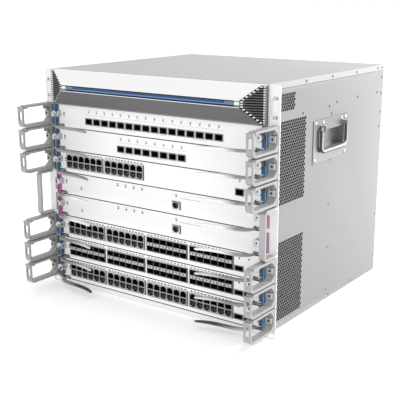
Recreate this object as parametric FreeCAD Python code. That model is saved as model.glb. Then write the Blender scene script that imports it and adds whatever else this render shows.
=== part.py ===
"""Modular chassis switch, nine rack units high, in millimetres.

X runs to the right and Y to the back, with Z up.  The origin is on the floor, in the middle
of the plane of the faceplates and rack ears.  Card 1 is the highest and card 8 the lowest.
Right-hand pieces are modelled once and mirrored for the left.
"""
import FreeCAD, Part
import math
import os

V = FreeCAD.Vector

# chassis envelope
BODY_HALF = 221.0
BODY_DEPTH = 410.0
BODY_HEIGHT = 397.0
SHEET = 1.5
WALL_IN = BODY_HALF - SHEET
GAP = 0.3

# card cage
CARDS = 8
CARD_PITCH = 40.64
CAGE_FLOOR = 10.4
CAGE_TOP = CAGE_FLOOR + CARDS * CARD_PITCH
FIN_PROUD = 2.5
RAIL_Y = 15.0
LEDGE_IN = 199.5
RAIL_IN = 206.5
RACK_OUT = WALL_IN - 0.1
LEDGE_BACK = 314.5

# one card, heights above its slot's floor
PLATE_HALF = 219.2
PLATE_LOW = 0.4
PLATE_HIGH = CARD_PITCH - 0.4
PLATE_THICK = 1.6
NOTCH_HIGH = 6.5
NOTCH_TOP_X = 200.7
NOTCH_LOW_X = 196.4
TRAY_HALF = 205.5
TRAY_BACK = 308.0
FLOOR_TOP = 1.4
BOARD_HALF = 205.5
BOARD_LOW = 6.0
BOARD_TOP = 7.6
BOARD_BACK = 298.0
SCREW_X = 211.5
SCREW_Z = 23.3
SCREW_SIDES = 8
LINE_CARDS = (1, 2, 3, 6, 7, 8)

# ejector lever, in plan
PIVOT_X = 203.0
PIVOT_Y = 4.0
PIVOT_R = 2.0
PIVOT_SIDES = 8
LEVER_LOW = 1.7
LEVER_HIGH = 3.9

# port openings: width and height
CAGE_PORT = (14.5, 10.0)
CAGE_PORT_LOW = 9.5
GANG = 4
UPLINK_PORT = (15.6, 8.0)
UPLINK_LOW = 8.9
BLOCK_WIDTH = 85.6
BLOCK_HIGH = 33.8
BLOCK_DEPTH = 26.0
BLOCK_COLUMNS = 6
CELL_PITCH = 14.1
BLOCK_CENTRES = (-153.0, -62.4, 28.1, 118.6)
CONSOLE_X = 49.2
CONSOLE_SIZE = (16.6, 12.6)
CONSOLE_LOW = 9.0

# rack ears, cable rings and pull handles
EAR_OUT = 241.3
EAR_THICK = 2.0
HOLE_X = 232.55
EAR_HOLES_Z = (5.55, 348.45, 377.0)
EAR_SLOT = (10.0, 6.8)
RING_X = (227.0, 240.0)
RING_REACH = 70.5
RING_LOW = 3.9
RING_HEIGHT = 38.2
HANDLE_X = (229.5, 240.0)
HANDLE_REACH = 34.0
HANDLE_Z = (134.8, 214.7)
HANDLE_THICK = 3.6

# intake fascia
FASCIA_Z = (336.0, 396.8)
ROOF_Z = (337.2, 396.2)
RIDGE_Z = (361.3, 371.3)
RIDGE_Y = -21.0
ROOF_Y = -1.5
ROOF_X = 209.5
RIDGE_X = 185.0
SHELL = 1.8
LOUVRES = 11
LOUVRE_HIGH = 3.0

# side wall openings: low and high Y, low and high Z, and how many holes each way
VENTS = (((35.5, 80.5, 351.5, 379.0), (2, 2)),
         ((35.5, 117.5, 205.0, 337.0), (2, 4)),
         ((35.5, 117.5, 13.5, 145.5), (2, 4)))
POCKET = (168.0, 246.0, 276.0, 306.0)
POCKET_DEPTH = 12.0
POCKET_WINDOW = (153.0, 250.0, 264.0, 314.0)
CARRY_PLATE = (141.0, 262.0, 253.0, 324.5)
BAIL_X = 227.0
BAIL_Z = 310.0

# power bay and fans at the back
SHELF_Z = 343.5
SHELF_TOP = SHELF_Z + SHEET
SUPPLY_PITCH = 104.0
SUPPLY_WIDTH = 101.0
SUPPLY_Z = (345.2, 388.2)
SUPPLY_FRONT = 125.0
FAN_X = 103.6
FAN_Z = (93.0, 257.0)
FAN_R = 67.0
FAN_FRONT = 370.0
SPINDLE_R = 3.0
BLADES = 5


# ---------------------------------------------------------------- basic forms

def box(x0, x1, y0, y1, z0, z1):
    """A block between two corners."""
    return Part.makeBox(x1 - x0, y1 - y0, z1 - z0, V(x0, y0, z0))


def mirrored(shape):
    """The left-hand twin of a right-hand shape."""
    return shape.mirror(V(0, 0, 0), V(1, 0, 0))


def joined(shapes):
    """One solid from shapes that meet."""
    shapes = list(shapes)
    return shapes[0].fuse(shapes[1:]).removeSplitter()


def rounded_face(corners, place):
    """A flat face from corners (u, v, radius), laid in space by place(u, v)."""
    count = len(corners)
    starts = []
    arcs = []
    for i, (u, v, radius) in enumerate(corners):
        here = V(u, v, 0)
        back = V(*corners[i - 1][:2], 0) - here
        ahead = V(*corners[(i + 1) % count][:2], 0) - here
        back.normalize()
        ahead.normalize()
        if radius == 0:
            starts.append((here, here))
            arcs.append(None)
            continue
        half = back.getAngle(ahead) / 2
        reach = radius / math.tan(half)
        inward = back + ahead
        inward.normalize()
        middle = here + inward * (radius / math.sin(half) - radius)
        starts.append((here + back * reach, here + ahead * reach))
        arcs.append(middle)
    edges = []
    for i in range(count):
        first, last = starts[i]
        if arcs[i] is not None:
            points = [place(p.x, p.y) for p in (first, arcs[i], last)]
            edges.append(Part.Arc(*points).toShape())
        following = starts[(i + 1) % count][0]
        if (following - last).Length > 1e-6:
            edges.append(Part.LineSegment(place(last.x, last.y),
                                          place(following.x, following.y)).toShape())
    return Part.Face(Part.Wire(edges))


def slab_x(corners, x0, x1):
    """A plate seen along X, with corners (y, z, radius)."""
    return rounded_face(corners, lambda u, v: V(x0, u, v)).extrude(V(x1 - x0, 0, 0))


def slab_y(corners, y0, y1):
    """A plate seen along Y, with corners (x, z, radius)."""
    return rounded_face(corners, lambda u, v: V(u, y0, v)).extrude(V(0, y1 - y0, 0))


def slab_z(corners, z0, z1):
    """A plate seen along Z, with corners (x, y, radius)."""
    return rounded_face(corners, lambda u, v: V(u, v, z0)).extrude(V(0, 0, z1 - z0))


def rectangle(u0, u1, v0, v1, radius=0.0):
    """The corners of a rectangle, for the slab functions."""
    return [(u0, v0, radius), (u1, v0, radius), (u1, v1, radius), (u0, v1, radius)]


def slotted_hole(x, z, length, width, y0, y1):
    """A round-ended slot along X, as a cutter."""
    half = width / 2
    reach = length / 2 - half
    corners = [V(x - reach, y0, z - half), V(x + reach, y0, z - half),
               V(x + reach, y0, z + half), V(x - reach, y0, z + half)]
    edges = [Part.LineSegment(corners[0], corners[1]).toShape(),
             Part.Arc(corners[1], V(x + length / 2, y0, z), corners[2]).toShape(),
             Part.LineSegment(corners[2], corners[3]).toShape(),
             Part.Arc(corners[3], V(x - length / 2, y0, z), corners[0]).toShape()]
    return Part.Face(Part.Wire(edges)).extrude(V(0, y1 - y0, 0))


def regular(u, v, radius, sides):
    """The corners of a regular polygon, for the slab functions."""
    turns = [2 * math.pi * i / sides for i in range(sides)]
    return [(u + radius * math.cos(t), v + radius * math.sin(t), 0) for t in turns]


def card_floor(card):
    """The height of a card's slot."""
    return CAGE_FLOOR + CARD_PITCH * (CARDS - card)


def raised(shape, card):
    """A card's piece, lifted from slot height zero to its slot."""
    shape.translate(V(0, 0, card_floor(card)))
    return shape


# ---------------------------------------------------------------- ports

def cage_centres(card):
    """The module cages in the single row of an uplink card."""
    first, pitch, count = {1: (-139.2, 18.14, 16), 2: (-67.6, 18.37, 8)}[card]
    return [first + pitch * i for i in range(count)]


def port_groups(card):
    """The groups of ports on a card, each with its kind and centre."""
    groups = {
        1: [("cage", x) for x in cage_centres(1)],
        2: [("cage", x) for x in cage_centres(2)],
        3: [("jacks", x) for x in BLOCK_CENTRES[:2]] + [("cage", 172.4)],
        4: [("console", CONSOLE_X)],
        5: [("console", CONSOLE_X)],
        6: ([("jacks", x) for x in BLOCK_CENTRES[:2]]
            + [("cages", x) for x in BLOCK_CENTRES[2:]] + [("uplink", 173.0)]),
        7: [("cages", x) for x in BLOCK_CENTRES] + [("uplink", 173.0), ("uplink", 191.4)],
        8: [("jacks", x) for x in BLOCK_CENTRES] + [("uplink", 173.0), ("uplink", 191.4)],
    }
    return groups[card]


def port_window(kind, x):
    """The hole that a port group needs in its faceplate."""
    if kind in ("jacks", "cages"):
        half = BLOCK_WIDTH / 2 + GAP
        return box(x - half, x + half, -1, 3, BOARD_TOP - GAP, BLOCK_HIGH + GAP)
    width, height, low = {
        "cage": (*CAGE_PORT, CAGE_PORT_LOW),
        "uplink": (*UPLINK_PORT, UPLINK_LOW),
        "console": (CONSOLE_SIZE[0] + 2 * GAP, CONSOLE_SIZE[1] + 2 * GAP, CONSOLE_LOW - GAP),
    }[kind]
    return box(x - width / 2, x + width / 2, -1, 3, low, low + height)


def cell_centres(x):
    """The column centres of a block of ports."""
    first = x - CELL_PITCH * (BLOCK_COLUMNS - 1) / 2
    return [first + CELL_PITCH * i for i in range(BLOCK_COLUMNS)]


def jack_block(x):
    """A shielded block of two rows of six jacks."""
    front = -0.6
    body = box(x - BLOCK_WIDTH / 2, x + BLOCK_WIDTH / 2, front, BLOCK_DEPTH,
               BOARD_TOP, BLOCK_HIGH)
    pockets = []
    for column in cell_centres(x):
        for low in (9.3, 21.7):
            pockets.append(box(column - 5.9, column + 5.9, front, front + 15, low, low + 10.4))
    return body.cut(pockets)


def cage_block(x):
    """A ganged cage of two rows of six module bays, with a light-pipe band between."""
    front = -0.6
    depth = 45.0
    body = box(x - BLOCK_WIDTH / 2, x + BLOCK_WIDTH / 2, front, depth, BOARD_TOP, BLOCK_HIGH)
    bays = []
    for column in cell_centres(x):
        for low in (9.0, 23.6):
            bays.append(box(column - 6.7, column + 6.7, front, depth - 5, low, low + 8.8))
    return body.cut(bays)


def ganged_cages(centres, size, low):
    """Module cages side by side in one housing behind their faceplate windows."""
    depth = 45.0
    half = size[0] / 2
    body = box(centres[0] - half - 0.7, centres[-1] + half + 0.7, PLATE_THICK + 0.2, depth,
               BOARD_TOP, low + size[1] + 0.7)
    bays = [box(x - half + 0.4, x + half - 0.4, PLATE_THICK, depth - 5,
                low + 0.4, low + size[1] - 0.4) for x in centres]
    return body.cut(bays)


def console_jack(x):
    """The single management jack of a supervisor card."""
    front = -0.6
    width, height = CONSOLE_SIZE
    body = box(x - width / 2, x + width / 2, front, 20, CONSOLE_LOW, CONSOLE_LOW + height)
    foot = box(x - width / 2, x + width / 2, 9, 20, BOARD_TOP, CONSOLE_LOW)
    low = CONSOLE_LOW + 1.4
    plug = 5.9
    tab = 3.2
    outline = [(-plug, low), (plug, low), (plug, low + 7.4), (tab, low + 7.4),
               (tab, low + 10), (-tab, low + 10), (-tab, low + 7.4), (-plug, low + 7.4)]
    pocket = slab_y([(x + u, v, 0) for u, v in outline], front, front + 15)
    return joined([body, foot]).cut(pocket)


def port_body(kind, x):
    """The solid of a port group, on its board."""
    if kind == "jacks":
        return jack_block(x)
    if kind == "cages":
        return cage_block(x)
    if kind == "console":
        return console_jack(x)
    if kind == "uplink":
        return ganged_cages([x], UPLINK_PORT, UPLINK_LOW)
    return ganged_cages([x], CAGE_PORT, CAGE_PORT_LOW)


def port_bodies(card):
    """The port solids of a card, with a row of module cages ganged in fours."""
    groups = port_groups(card)
    if card > 2:
        return [port_body(kind, x) for kind, x in groups]
    centres = cage_centres(card)
    return [ganged_cages(centres[i:i + GANG], CAGE_PORT, CAGE_PORT_LOW)
            for i in range(0, len(centres), GANG)]


# ---------------------------------------------------------------- cards

def thumbscrew(x):
    """A captive screw's fluted head, drawn in against the faceplate."""
    return slab_y(regular(x, SCREW_Z, 6.2, SCREW_SIDES), -11.5, 0.5)


def card_tray(card):
    """Faceplate, floor and side flanges in one sheet, with pivot posts and thumbscrews."""
    plate = slab_y([(-NOTCH_LOW_X, PLATE_LOW, 0), (NOTCH_LOW_X, PLATE_LOW, 0),
                    (NOTCH_TOP_X, NOTCH_HIGH, 0), (PLATE_HALF, NOTCH_HIGH, 0),
                    (PLATE_HALF, PLATE_HIGH, 0), (-PLATE_HALF, PLATE_HIGH, 0),
                    (-PLATE_HALF, NOTCH_HIGH, 0), (-NOTCH_TOP_X, NOTCH_HIGH, 0)],
                   0, PLATE_THICK)
    plate = plate.cut([port_window(kind, x) for kind, x in port_groups(card)])
    front = PLATE_THICK - 0.1
    pieces = [plate,
              box(-TRAY_HALF, TRAY_HALF, front, TRAY_BACK, PLATE_LOW, FLOOR_TOP),
              box(-TRAY_HALF - 8, TRAY_HALF + 8, front, 11, PLATE_LOW, FLOOR_TOP)]
    for side in (-1, 1):
        flange = sorted((side * (TRAY_HALF - 1), side * TRAY_HALF))
        pieces.append(box(*flange, 20, TRAY_BACK, PLATE_LOW, BOARD_LOW))
        pieces.append(slab_z(regular(side * PIVOT_X, PIVOT_Y, PIVOT_R, PIVOT_SIDES),
                             PLATE_LOW, LEVER_HIGH + 1))
        pieces.append(thumbscrew(side * SCREW_X))
    return raised(joined(pieces), card)


def card_board(card):
    """Circuit board with its ports at the front and plugs for the backplane behind."""
    pieces = [box(-BOARD_HALF, BOARD_HALF, 8, BOARD_BACK, BOARD_LOW, BOARD_TOP)]
    pieces += port_bodies(card)
    for x in (-150, 50):
        pieces.append(box(x, x + 100, BOARD_BACK - 10, 310.7, BOARD_TOP, 19))
    return raised(joined(pieces), card)


def lever(card):
    """Right ejector lever: an eye on its post, a bowed blade and a heel behind the plate."""
    blade = slab_z([(199.4, 9, 0), (199.4, -8, 0), (193, -19, 0), (140, -21.5, 0),
                    (109, -33, 0), (108, -38, 0), (111, -40.5, 0), (142, -30, 0),
                    (195, -28, 0), (203.5, -22, 0), (208, -8, 0), (208, 0.5, 0),
                    (213.2, 5.5, 0), (212, 9, 0)], LEVER_LOW, LEVER_HIGH)
    bore_radius = (PIVOT_R + 0.06) / math.cos(math.pi / PIVOT_SIDES)
    bore = slab_z(regular(PIVOT_X, PIVOT_Y, bore_radius, PIVOT_SIDES),
                  LEVER_LOW - 1, LEVER_HIGH + 1)
    return raised(blade.cut(bore), card)


# ---------------------------------------------------------------- chassis

def vent_holes(area, count):
    """Staggered diamond holes that fill one perforated area of a side wall."""
    y0, y1, z0, z1 = area
    columns, rows = count
    step_y = (y1 - y0) / (columns + 0.5)
    step_z = (z1 - z0) / rows
    half_y = 0.42 * step_y
    half_z = 0.78 * step_z
    holes = []
    for row in range(rows):
        shift = 0.5 * (row % 2)
        for column in range(columns):
            y = y0 + step_y * (column + 0.5 + shift)
            z = z0 + step_z * (row + 0.5)
            diamond = [(y - half_y, z, 0), (y, z - half_z, 0), (y + half_y, z, 0),
                       (y, z + half_z, 0)]
            holes.append(slab_x(diamond, WALL_IN - 2, BODY_HALF + 1))
    return holes


def side_wall():
    """Right side wall with its vents, hand-pocket window, front fin and folded edges."""
    top = BODY_HEIGHT - 10.4
    wall = slab_x([(0, 0, 0), (BODY_DEPTH, 0, 0), (BODY_DEPTH, top, 0), (0, top, 0),
                   (0, CAGE_TOP, 0), (-FIN_PROUD, CAGE_TOP, 0),
                   (-FIN_PROUD, CAGE_FLOOR, 0), (0, CAGE_FLOOR, 0)], WALL_IN, BODY_HALF)
    cuts = [box(WALL_IN - 1, BODY_HALF + 1, *POCKET_WINDOW)]
    for area, count in VENTS:
        cuts += vent_holes(area, count)
    folds = [box(WALL_IN - 1.3, WALL_IN, 10, 400, 378, 394.5),
             box(207.5, WALL_IN, BODY_DEPTH - SHEET, BODY_DEPTH, 12, 340),
             box(210.5, WALL_IN, BODY_DEPTH - SHEET, BODY_DEPTH, 346, 386)]
    return joined([wall.cut(cuts)] + folds)


def guide_rack():
    """Right card guides: a front rail, eight ledges and a rear strip."""
    rail = box(RAIL_IN, RACK_OUT, RAIL_Y, RAIL_Y + SHEET, CAGE_FLOOR, CAGE_TOP)
    strip = box(LEDGE_IN, RACK_OUT, LEDGE_BACK, LEDGE_BACK + SHEET, CAGE_FLOOR, CAGE_TOP)
    pieces = [rail, strip]
    pocket_room = box(RAIL_IN, RACK_OUT + 1, POCKET[0] - 2, POCKET[1] + 2,
                      POCKET[2] - 2, POCKET[3] + 2)
    for card in range(1, CARDS + 1):
        floor = card_floor(card)
        pieces.append(box(LEDGE_IN, RACK_OUT, RAIL_Y, LEDGE_BACK + 1, floor - 1, floor + 0.1))
    return joined(pieces).cut(pocket_room)


def base_pan():
    """Floor of the chassis with its four edges folded up."""
    half = WALL_IN - 0.1
    floor = box(-half, half, 0, BODY_DEPTH, 0, SHEET)
    lips = [box(-half, half, 0, SHEET, 0, CAGE_FLOOR - GAP),
            box(-half, half, BODY_DEPTH - SHEET, BODY_DEPTH, 0, 10),
            box(-half, SHEET - half, 0, BODY_DEPTH, 0, 8),
            box(half - SHEET, half, 0, BODY_DEPTH, 0, 8)]
    return joined([floor] + lips)


def top_cover():
    """Lid with folded side and rear flanges."""
    thick = 1.3
    lid = box(-BODY_HALF, BODY_HALF, 0, BODY_DEPTH, BODY_HEIGHT - thick, BODY_HEIGHT)
    low = BODY_HEIGHT - 10
    flanges = [box(-BODY_HALF, thick - BODY_HALF, 0, BODY_DEPTH, low, BODY_HEIGHT - 1),
               box(BODY_HALF - thick, BODY_HALF, 0, BODY_DEPTH, low, BODY_HEIGHT - 1),
               box(-218, 218, BODY_DEPTH - thick, BODY_DEPTH, low + 5, BODY_HEIGHT - 1)]
    return joined([lid] + flanges)


def mid_shelf():
    """Shelf under the power bay, with side flanges, bay dividers and the power bus board."""
    half = WALL_IN - 0.2
    pieces = [box(-half, half, 3, 408, SHELF_Z, SHELF_TOP),
              box(-half, 1.4 - half, 3, 408, SHELF_Z, 352),
              box(half - 1.4, half, 3, 408, SHELF_Z, 352),
              box(-208, 208, 119, 121, SHELF_Z, 378)]
    for bay in (-1, 0, 1):
        x = bay * SUPPLY_PITCH
        pieces.append(box(x - 0.6, x + 0.6, 120, 405, SHELF_Z, 394))
    return joined(pieces)


def backplane():
    """Board across the back of the card cage, with headers and air slots."""
    board = box(-206, 206, LEDGE_BACK + SHEET, 319.2, 12, CAGE_TOP - 2)
    slots = []
    for card in range(2, CARDS + 1, 2):
        floor = card_floor(card)
        slots.append(box(-40, 40, 315, 321, floor + 8, floor + 66))
    headers = [box(x, x + 100, 311, 317, CAGE_FLOOR + BOARD_TOP, CAGE_TOP - 20)
               for x in (-150, 50)]
    sockets = [box(s * FAN_X - 12, s * FAN_X + 12, 319, 334, 168, 184) for s in (-1, 1)]
    return joined([board.cut(slots)] + headers + sockets)


def rack_ear():
    """Right rack ear: slotted front plate, side flange and the two-slot pull handle."""
    plate = slab_y([(BODY_HALF, 0.5, 0), (EAR_OUT - 2, 0.5, 0), (EAR_OUT, 2.5, 0),
                    (EAR_OUT, 394.5, 0), (EAR_OUT - 2, 396.5, 0), (BODY_HALF, 396.5, 0)],
                   0, EAR_THICK)
    slots = [slotted_hole(HOLE_X, z, *EAR_SLOT, -1, 3) for z in EAR_HOLES_Z]
    flange = box(BODY_HALF, BODY_HALF + 1.6, 0, 28, 0.5, 386)
    low, high = HANDLE_Z
    loop = slab_x([(0.5, low, 0), (0.5, high, 0), (5 - HANDLE_REACH, high, 0),
                   (-HANDLE_REACH, high - 5, 0), (-HANDLE_REACH, low + 5, 0),
                   (5 - HANDLE_REACH, low, 0)], *HANDLE_X)
    hand_gap = box(HANDLE_X[0] - 1, HANDLE_X[1] + 1, HANDLE_THICK - HANDLE_REACH, 0,
                   low + 4, high - 4)
    return joined([plate.cut(slots), flange, loop.cut(hand_gap)])


def cable_ring(card):
    """Right cable ring: a loop open at its top front corner, with a slotted front bar."""
    low = card_floor(card) + RING_LOW
    high = low + RING_HEIGHT
    front = -RING_REACH
    body = slab_x([(0, low, 0), (0, high, 0), (-65, high, 0), (-65, high - 6.5, 0),
                   (-61.5, high - 6.5, 0), (-58, high - 3.8, 0), (-12, high - 3.8, 0),
                   (-3.6, high - 12, 0), (-3.6, low + 12, 0), (-12, low + 4.6, 0),
                   (-62, low + 4.6, 0), (front + 3.4, low + 10, 0), (front + 3.4, high - 1.6, 0),
                   (front - 1.8, high - 1.6, 0), (front - 1.8, high - 4.4, 0),
                   (front, high - 4.4, 0), (front, low + 8, 0), (front + 2.4, low + 2.4, 0),
                   (front + 8, low, 0)], *RING_X)
    centre = (RING_X[0] + RING_X[1]) / 2
    slot = slab_y([(centre - 3.4, low + 15.5, 0), (centre, low + 12.5, 0),
                   (centre + 3.4, low + 15.5, 0), (centre + 3.4, low + 26, 0),
                   (centre, low + 29, 0), (centre - 3.4, low + 26, 0)],
                  front - 3, front + 5)
    return body.cut(slot)


def cable_rings():
    """The six right rings, one beside each line card."""
    return Part.makeCompound([cable_ring(card) for card in LINE_CARDS])


# ---------------------------------------------------------------- fascia

def roof_solid(inset):
    """The hipped form of the fascia, taken in by inset all round."""
    base = (ROOF_X - inset, ROOF_Z[0] + inset, ROOF_Z[1] - inset)
    ridge = (RIDGE_X - inset, RIDGE_Z[0], RIDGE_Z[1])
    back = ROOF_Y + 1.5

    def ring(values, y):
        half, low, high = values
        return [V(-half, y, low), V(half, y, low), V(half, y, high), V(-half, y, high)]

    rings = [ring(base, back), ring(base, ROOF_Y), ring(ridge, RIDGE_Y + inset)]
    faces = [Part.Face(Part.makePolygon(r + r[:1])) for r in (rings[0], rings[2])]
    for near, far in zip(rings, rings[1:]):
        for i in range(4):
            j = (i + 1) % 4
            faces.append(Part.Face(Part.makePolygon([near[i], near[j], far[j], far[i], near[i]])))
    return Part.makeSolid(Part.makeShell(faces))


def hip_line(z):
    """How far out the roof's hip edge is, in X and Y, at height z."""
    if z > RIDGE_Z[1]:
        share = (ROOF_Z[1] - z) / (ROOF_Z[1] - RIDGE_Z[1])
    elif z < RIDGE_Z[0]:
        share = (z - ROOF_Z[0]) / (RIDGE_Z[0] - ROOF_Z[0])
    else:
        share = 1.0
    return ROOF_X - share * (ROOF_X - RIDGE_X)


def fascia():
    """Intake fascia: frame, hipped shell, louvred ends and the ridge groove."""
    frame = box(-BODY_HALF, BODY_HALF, ROOF_Y, 0, *FASCIA_Z)
    roof = roof_solid(0)
    channel = box(-RIDGE_X + 2, RIDGE_X - 2, RIDGE_Y, RIDGE_Y + 6.8,
                  RIDGE_Z[0] - 1, RIDGE_Z[1] + 1)
    shell = roof.fuse(frame).cut(roof_solid(SHELL)).fuse(channel.common(roof))
    groove = box(4 - RIDGE_X, RIDGE_X - 4, RIDGE_Y - 1, RIDGE_Y + 5,
                 RIDGE_Z[0] + 1, RIDGE_Z[1] - 0.8)
    slots = [groove]
    step = (ROOF_Z[1] - ROOF_Z[0] - 3) / LOUVRES
    for i in range(LOUVRES):
        low = ROOF_Z[0] + 1.5 + step * (i + 0.5) - LOUVRE_HIGH / 2
        inner = max(hip_line(low), hip_line(low + LOUVRE_HIGH)) + 1.4
        outer = ROOF_X - 1.6
        if outer - inner < 1.5:
            continue
        for side in (-1, 1):
            ends = sorted((side * inner, side * outer))
            slots.append(box(*ends, RIDGE_Y - 1, ROOF_Y - 0.4, low, low + LOUVRE_HIGH))
    return shell.cut(slots).removeSplitter()


def light_bar():
    """The bar that lies in the ridge groove."""
    half = RIDGE_X - 4.4
    floor = RIDGE_Y + 5
    return slab_x([(floor, RIDGE_Z[0] + 1.4, 0), (floor, RIDGE_Z[1] - 1.2, 0),
                   (floor - 3.6, RIDGE_Z[1] - 1.2, 0), (floor - 4.4, RIDGE_Z[0] + 5.2, 0),
                   (floor - 3.2, RIDGE_Z[0] + 1.4, 0)], -half, half)


# ---------------------------------------------------------------- carry handles

def carry_plate():
    """Right carry plate: a sheet with a hand pocket and two lugs for the bail."""
    y0, y1, z0, z1 = POCKET
    face = BODY_HALF + SHEET
    plate = slab_x(rectangle(*CARRY_PLATE), BODY_HALF, face)
    skin = 1.1
    shell = box(BODY_HALF - POCKET_DEPTH, BODY_HALF, y0 - skin, y1 + skin, z0 - skin, z1 + skin)
    pocket = box(BODY_HALF - POCKET_DEPTH + skin, face + 1, y0, y1, z0, z1)
    bore = (PIVOT_R + 0.06) / math.cos(math.pi / PIVOT_SIDES)
    lugs = []
    for y in (y0 - 2.4, y1 - 1.6):
        lug = slab_x(rectangle(y, y + 4, BAIL_Z - 4.5, BAIL_Z + 4.5), face - 0.5, BAIL_X + 4.5)
        lugs.append(lug.cut(slab_y(regular(BAIL_X, BAIL_Z, bore, PIVOT_SIDES), y - 1, y + 5)))
    return joined([joined([plate, shell]).cut(pocket)] + lugs)


def carry_bail():
    """Right bail: a U bar whose pins turn in the plate's lugs."""
    y0, y1 = POCKET[:2]
    low = BAIL_Z - 41
    bar = slab_x([(y0 - 9, BAIL_Z + 3, 0), (y0 - 9, low + 6, 0), (y0 - 3, low, 0),
                  (y1 + 3, low, 0), (y1 + 9, low + 6, 0), (y1 + 9, BAIL_Z + 3, 0),
                  (y1 + 3, BAIL_Z + 3, 0), (y1 + 3, low + 8, 0), (y0 - 3, low + 8, 0),
                  (y0 - 3, BAIL_Z + 3, 0)], BAIL_X - 3, BAIL_X + 3)
    pins = [slab_y(regular(BAIL_X, BAIL_Z, PIVOT_R, PIVOT_SIDES), y, y + 4.8)
            for y in (y0 - 3.5, y1 - 1.3)]
    return joined([bar] + pins)


# ---------------------------------------------------------------- fans and supplies

def fan_tray():
    """Right fan tray: back plate, housing with two bores, motor spiders and a pull bar."""
    plate = box(0.8, 206.4, BODY_DEPTH - SHEET, BODY_DEPTH, 11.5, 340)
    housing = box(4, 203, FAN_FRONT, BODY_DEPTH - SHEET, 14, 337.5)
    body = joined([plate, housing])
    bores = [slab_y(regular(FAN_X, z, FAN_R, 20), FAN_FRONT - 1, BODY_DEPTH + 1) for z in FAN_Z]
    pieces = [body.cut(bores)]
    for z in FAN_Z:
        pieces.append(slab_y(regular(FAN_X, z, 20, 2 * BLADES), BODY_DEPTH - 6, BODY_DEPTH - 2))
        pieces.append(slab_y(regular(FAN_X, z, SPINDLE_R, PIVOT_SIDES), BODY_DEPTH - 20,
                             BODY_DEPTH - 5))
        for turn in (90, 210, 330):
            arm = box(FAN_X + 15, FAN_X + FAN_R + 2, BODY_DEPTH - 6, BODY_DEPTH - 2,
                      z - 2.5, z + 2.5)
            arm.rotate(V(FAN_X, 0, z), V(0, 1, 0), turn)
            pieces.append(arm)
    middle = sum(FAN_Z) / 2
    bar = slab_z([(FAN_X - 38, BODY_DEPTH - 0.5, 0), (FAN_X - 34, 434, 0),
                  (FAN_X + 34, 434, 0), (FAN_X + 38, BODY_DEPTH - 0.5, 0),
                  (FAN_X + 32, BODY_DEPTH - 0.5, 0), (FAN_X + 29, 429, 0),
                  (FAN_X - 29, 429, 0), (FAN_X - 32, BODY_DEPTH - 0.5, 0)],
                 middle - 6, middle + 6)
    pieces.append(bar)
    for z in (18.6, 331.4):
        pieces.append(slab_y(regular(FAN_X, z, 5.6, SCREW_SIDES), BODY_DEPTH - 0.2,
                             BODY_DEPTH + 8.8))
    pieces.append(box(FAN_X - 12, FAN_X + 12, 334.4, FAN_FRONT, 168, 184))
    return joined(pieces)


def rotor(height):
    """A rotor with pitched blades, turning on its tray's spindle."""
    hub = slab_y(regular(FAN_X, height, 27, 2 * BLADES), 378, 403.5)
    blades = []
    for i in range(BLADES):
        blade = box(-9, 9, -1, 1, 25, FAN_R - 2.5)
        blade.rotate(V(0, 0, 0), V(0, 0, 1), 42)
        blade.translate(V(FAN_X, 390.5, height))
        blade.rotate(V(FAN_X, 0, height), V(0, 1, 0), 360 / BLADES * i)
        blades.append(blade)
    bore_radius = (SPINDLE_R + 0.08) / math.cos(math.pi / PIVOT_SIDES)
    bore = slab_y(regular(FAN_X, height, bore_radius, PIVOT_SIDES), 388, 408)
    return joined([hub] + blades).cut(bore)


def power_supply(bay):
    """A power supply: housing, mains inlet, air slots, pull strap and thumbscrew."""
    x = SUPPLY_PITCH * (bay - 2.5)
    half = SUPPLY_WIDTH / 2
    low, high = SUPPLY_Z
    middle = (low + high) / 2
    back = BODY_DEPTH
    housing = box(x - half, x + half, SUPPLY_FRONT, back, low, high)
    inlet = slab_y([(x - 42, middle - 11, 0), (x - 14, middle - 11, 0),
                    (x - 14, middle + 5, 0), (x - 19, middle + 11, 0),
                    (x - 37, middle + 11, 0), (x - 42, middle + 5, 0)], back - 16, back + 1)
    slots = [box(x + 2, x + 34, back - 4, back + 1, z, z + 7)
             for z in (middle - 16, middle + 9)]
    strap = slab_z([(x - 2, back - 0.5, 0), (x, back + 24, 0), (x + 36, back + 24, 0),
                    (x + 38, back - 0.5, 0), (x + 34.5, back - 0.5, 0), (x + 33, back + 20, 0),
                    (x + 3, back + 20, 0), (x + 1.5, back - 0.5, 0)], middle - 4.5, middle + 4.5)
    screw = slab_y(regular(x + 44.5, middle + 12, 4.2, SCREW_SIDES), back - 0.2, back + 8)
    return joined([housing.cut([inlet] + slots), strap, screw])


# ---------------------------------------------------------------- all parts

def all_parts():
    """Every node's shape, by name."""
    parts = {}
    for card in range(1, CARDS + 1):
        parts[f"card_{card}_tray"] = card_tray(card)
        parts[f"card_{card}_board"] = card_board(card)
        right = lever(card)
        parts[f"card_{card}_lever_right"] = right
        parts[f"card_{card}_lever_left"] = mirrored(right)
    handed = {"side_wall": side_wall(), "guide_rack": guide_rack(), "rack_ear": rack_ear(),
              "cable_rings": cable_rings(), "carry_plate": carry_plate(),
              "carry_bail": carry_bail(), "fan_tray": fan_tray(),
              "fan_rotor_low": rotor(FAN_Z[0]), "fan_rotor_high": rotor(FAN_Z[1])}
    for name, shape in handed.items():
        parts[f"{name}_right"] = shape
        parts[f"{name}_left"] = mirrored(shape)
    parts["base_pan"] = base_pan()
    parts["top_cover"] = top_cover()
    parts["mid_shelf"] = mid_shelf()
    parts["backplane"] = backplane()
    parts["fascia"] = fascia()
    parts["light_bar"] = light_bar()
    for bay in range(1, 5):
        parts[f"power_supply_{bay}"] = power_supply(bay)
    return parts


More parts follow.
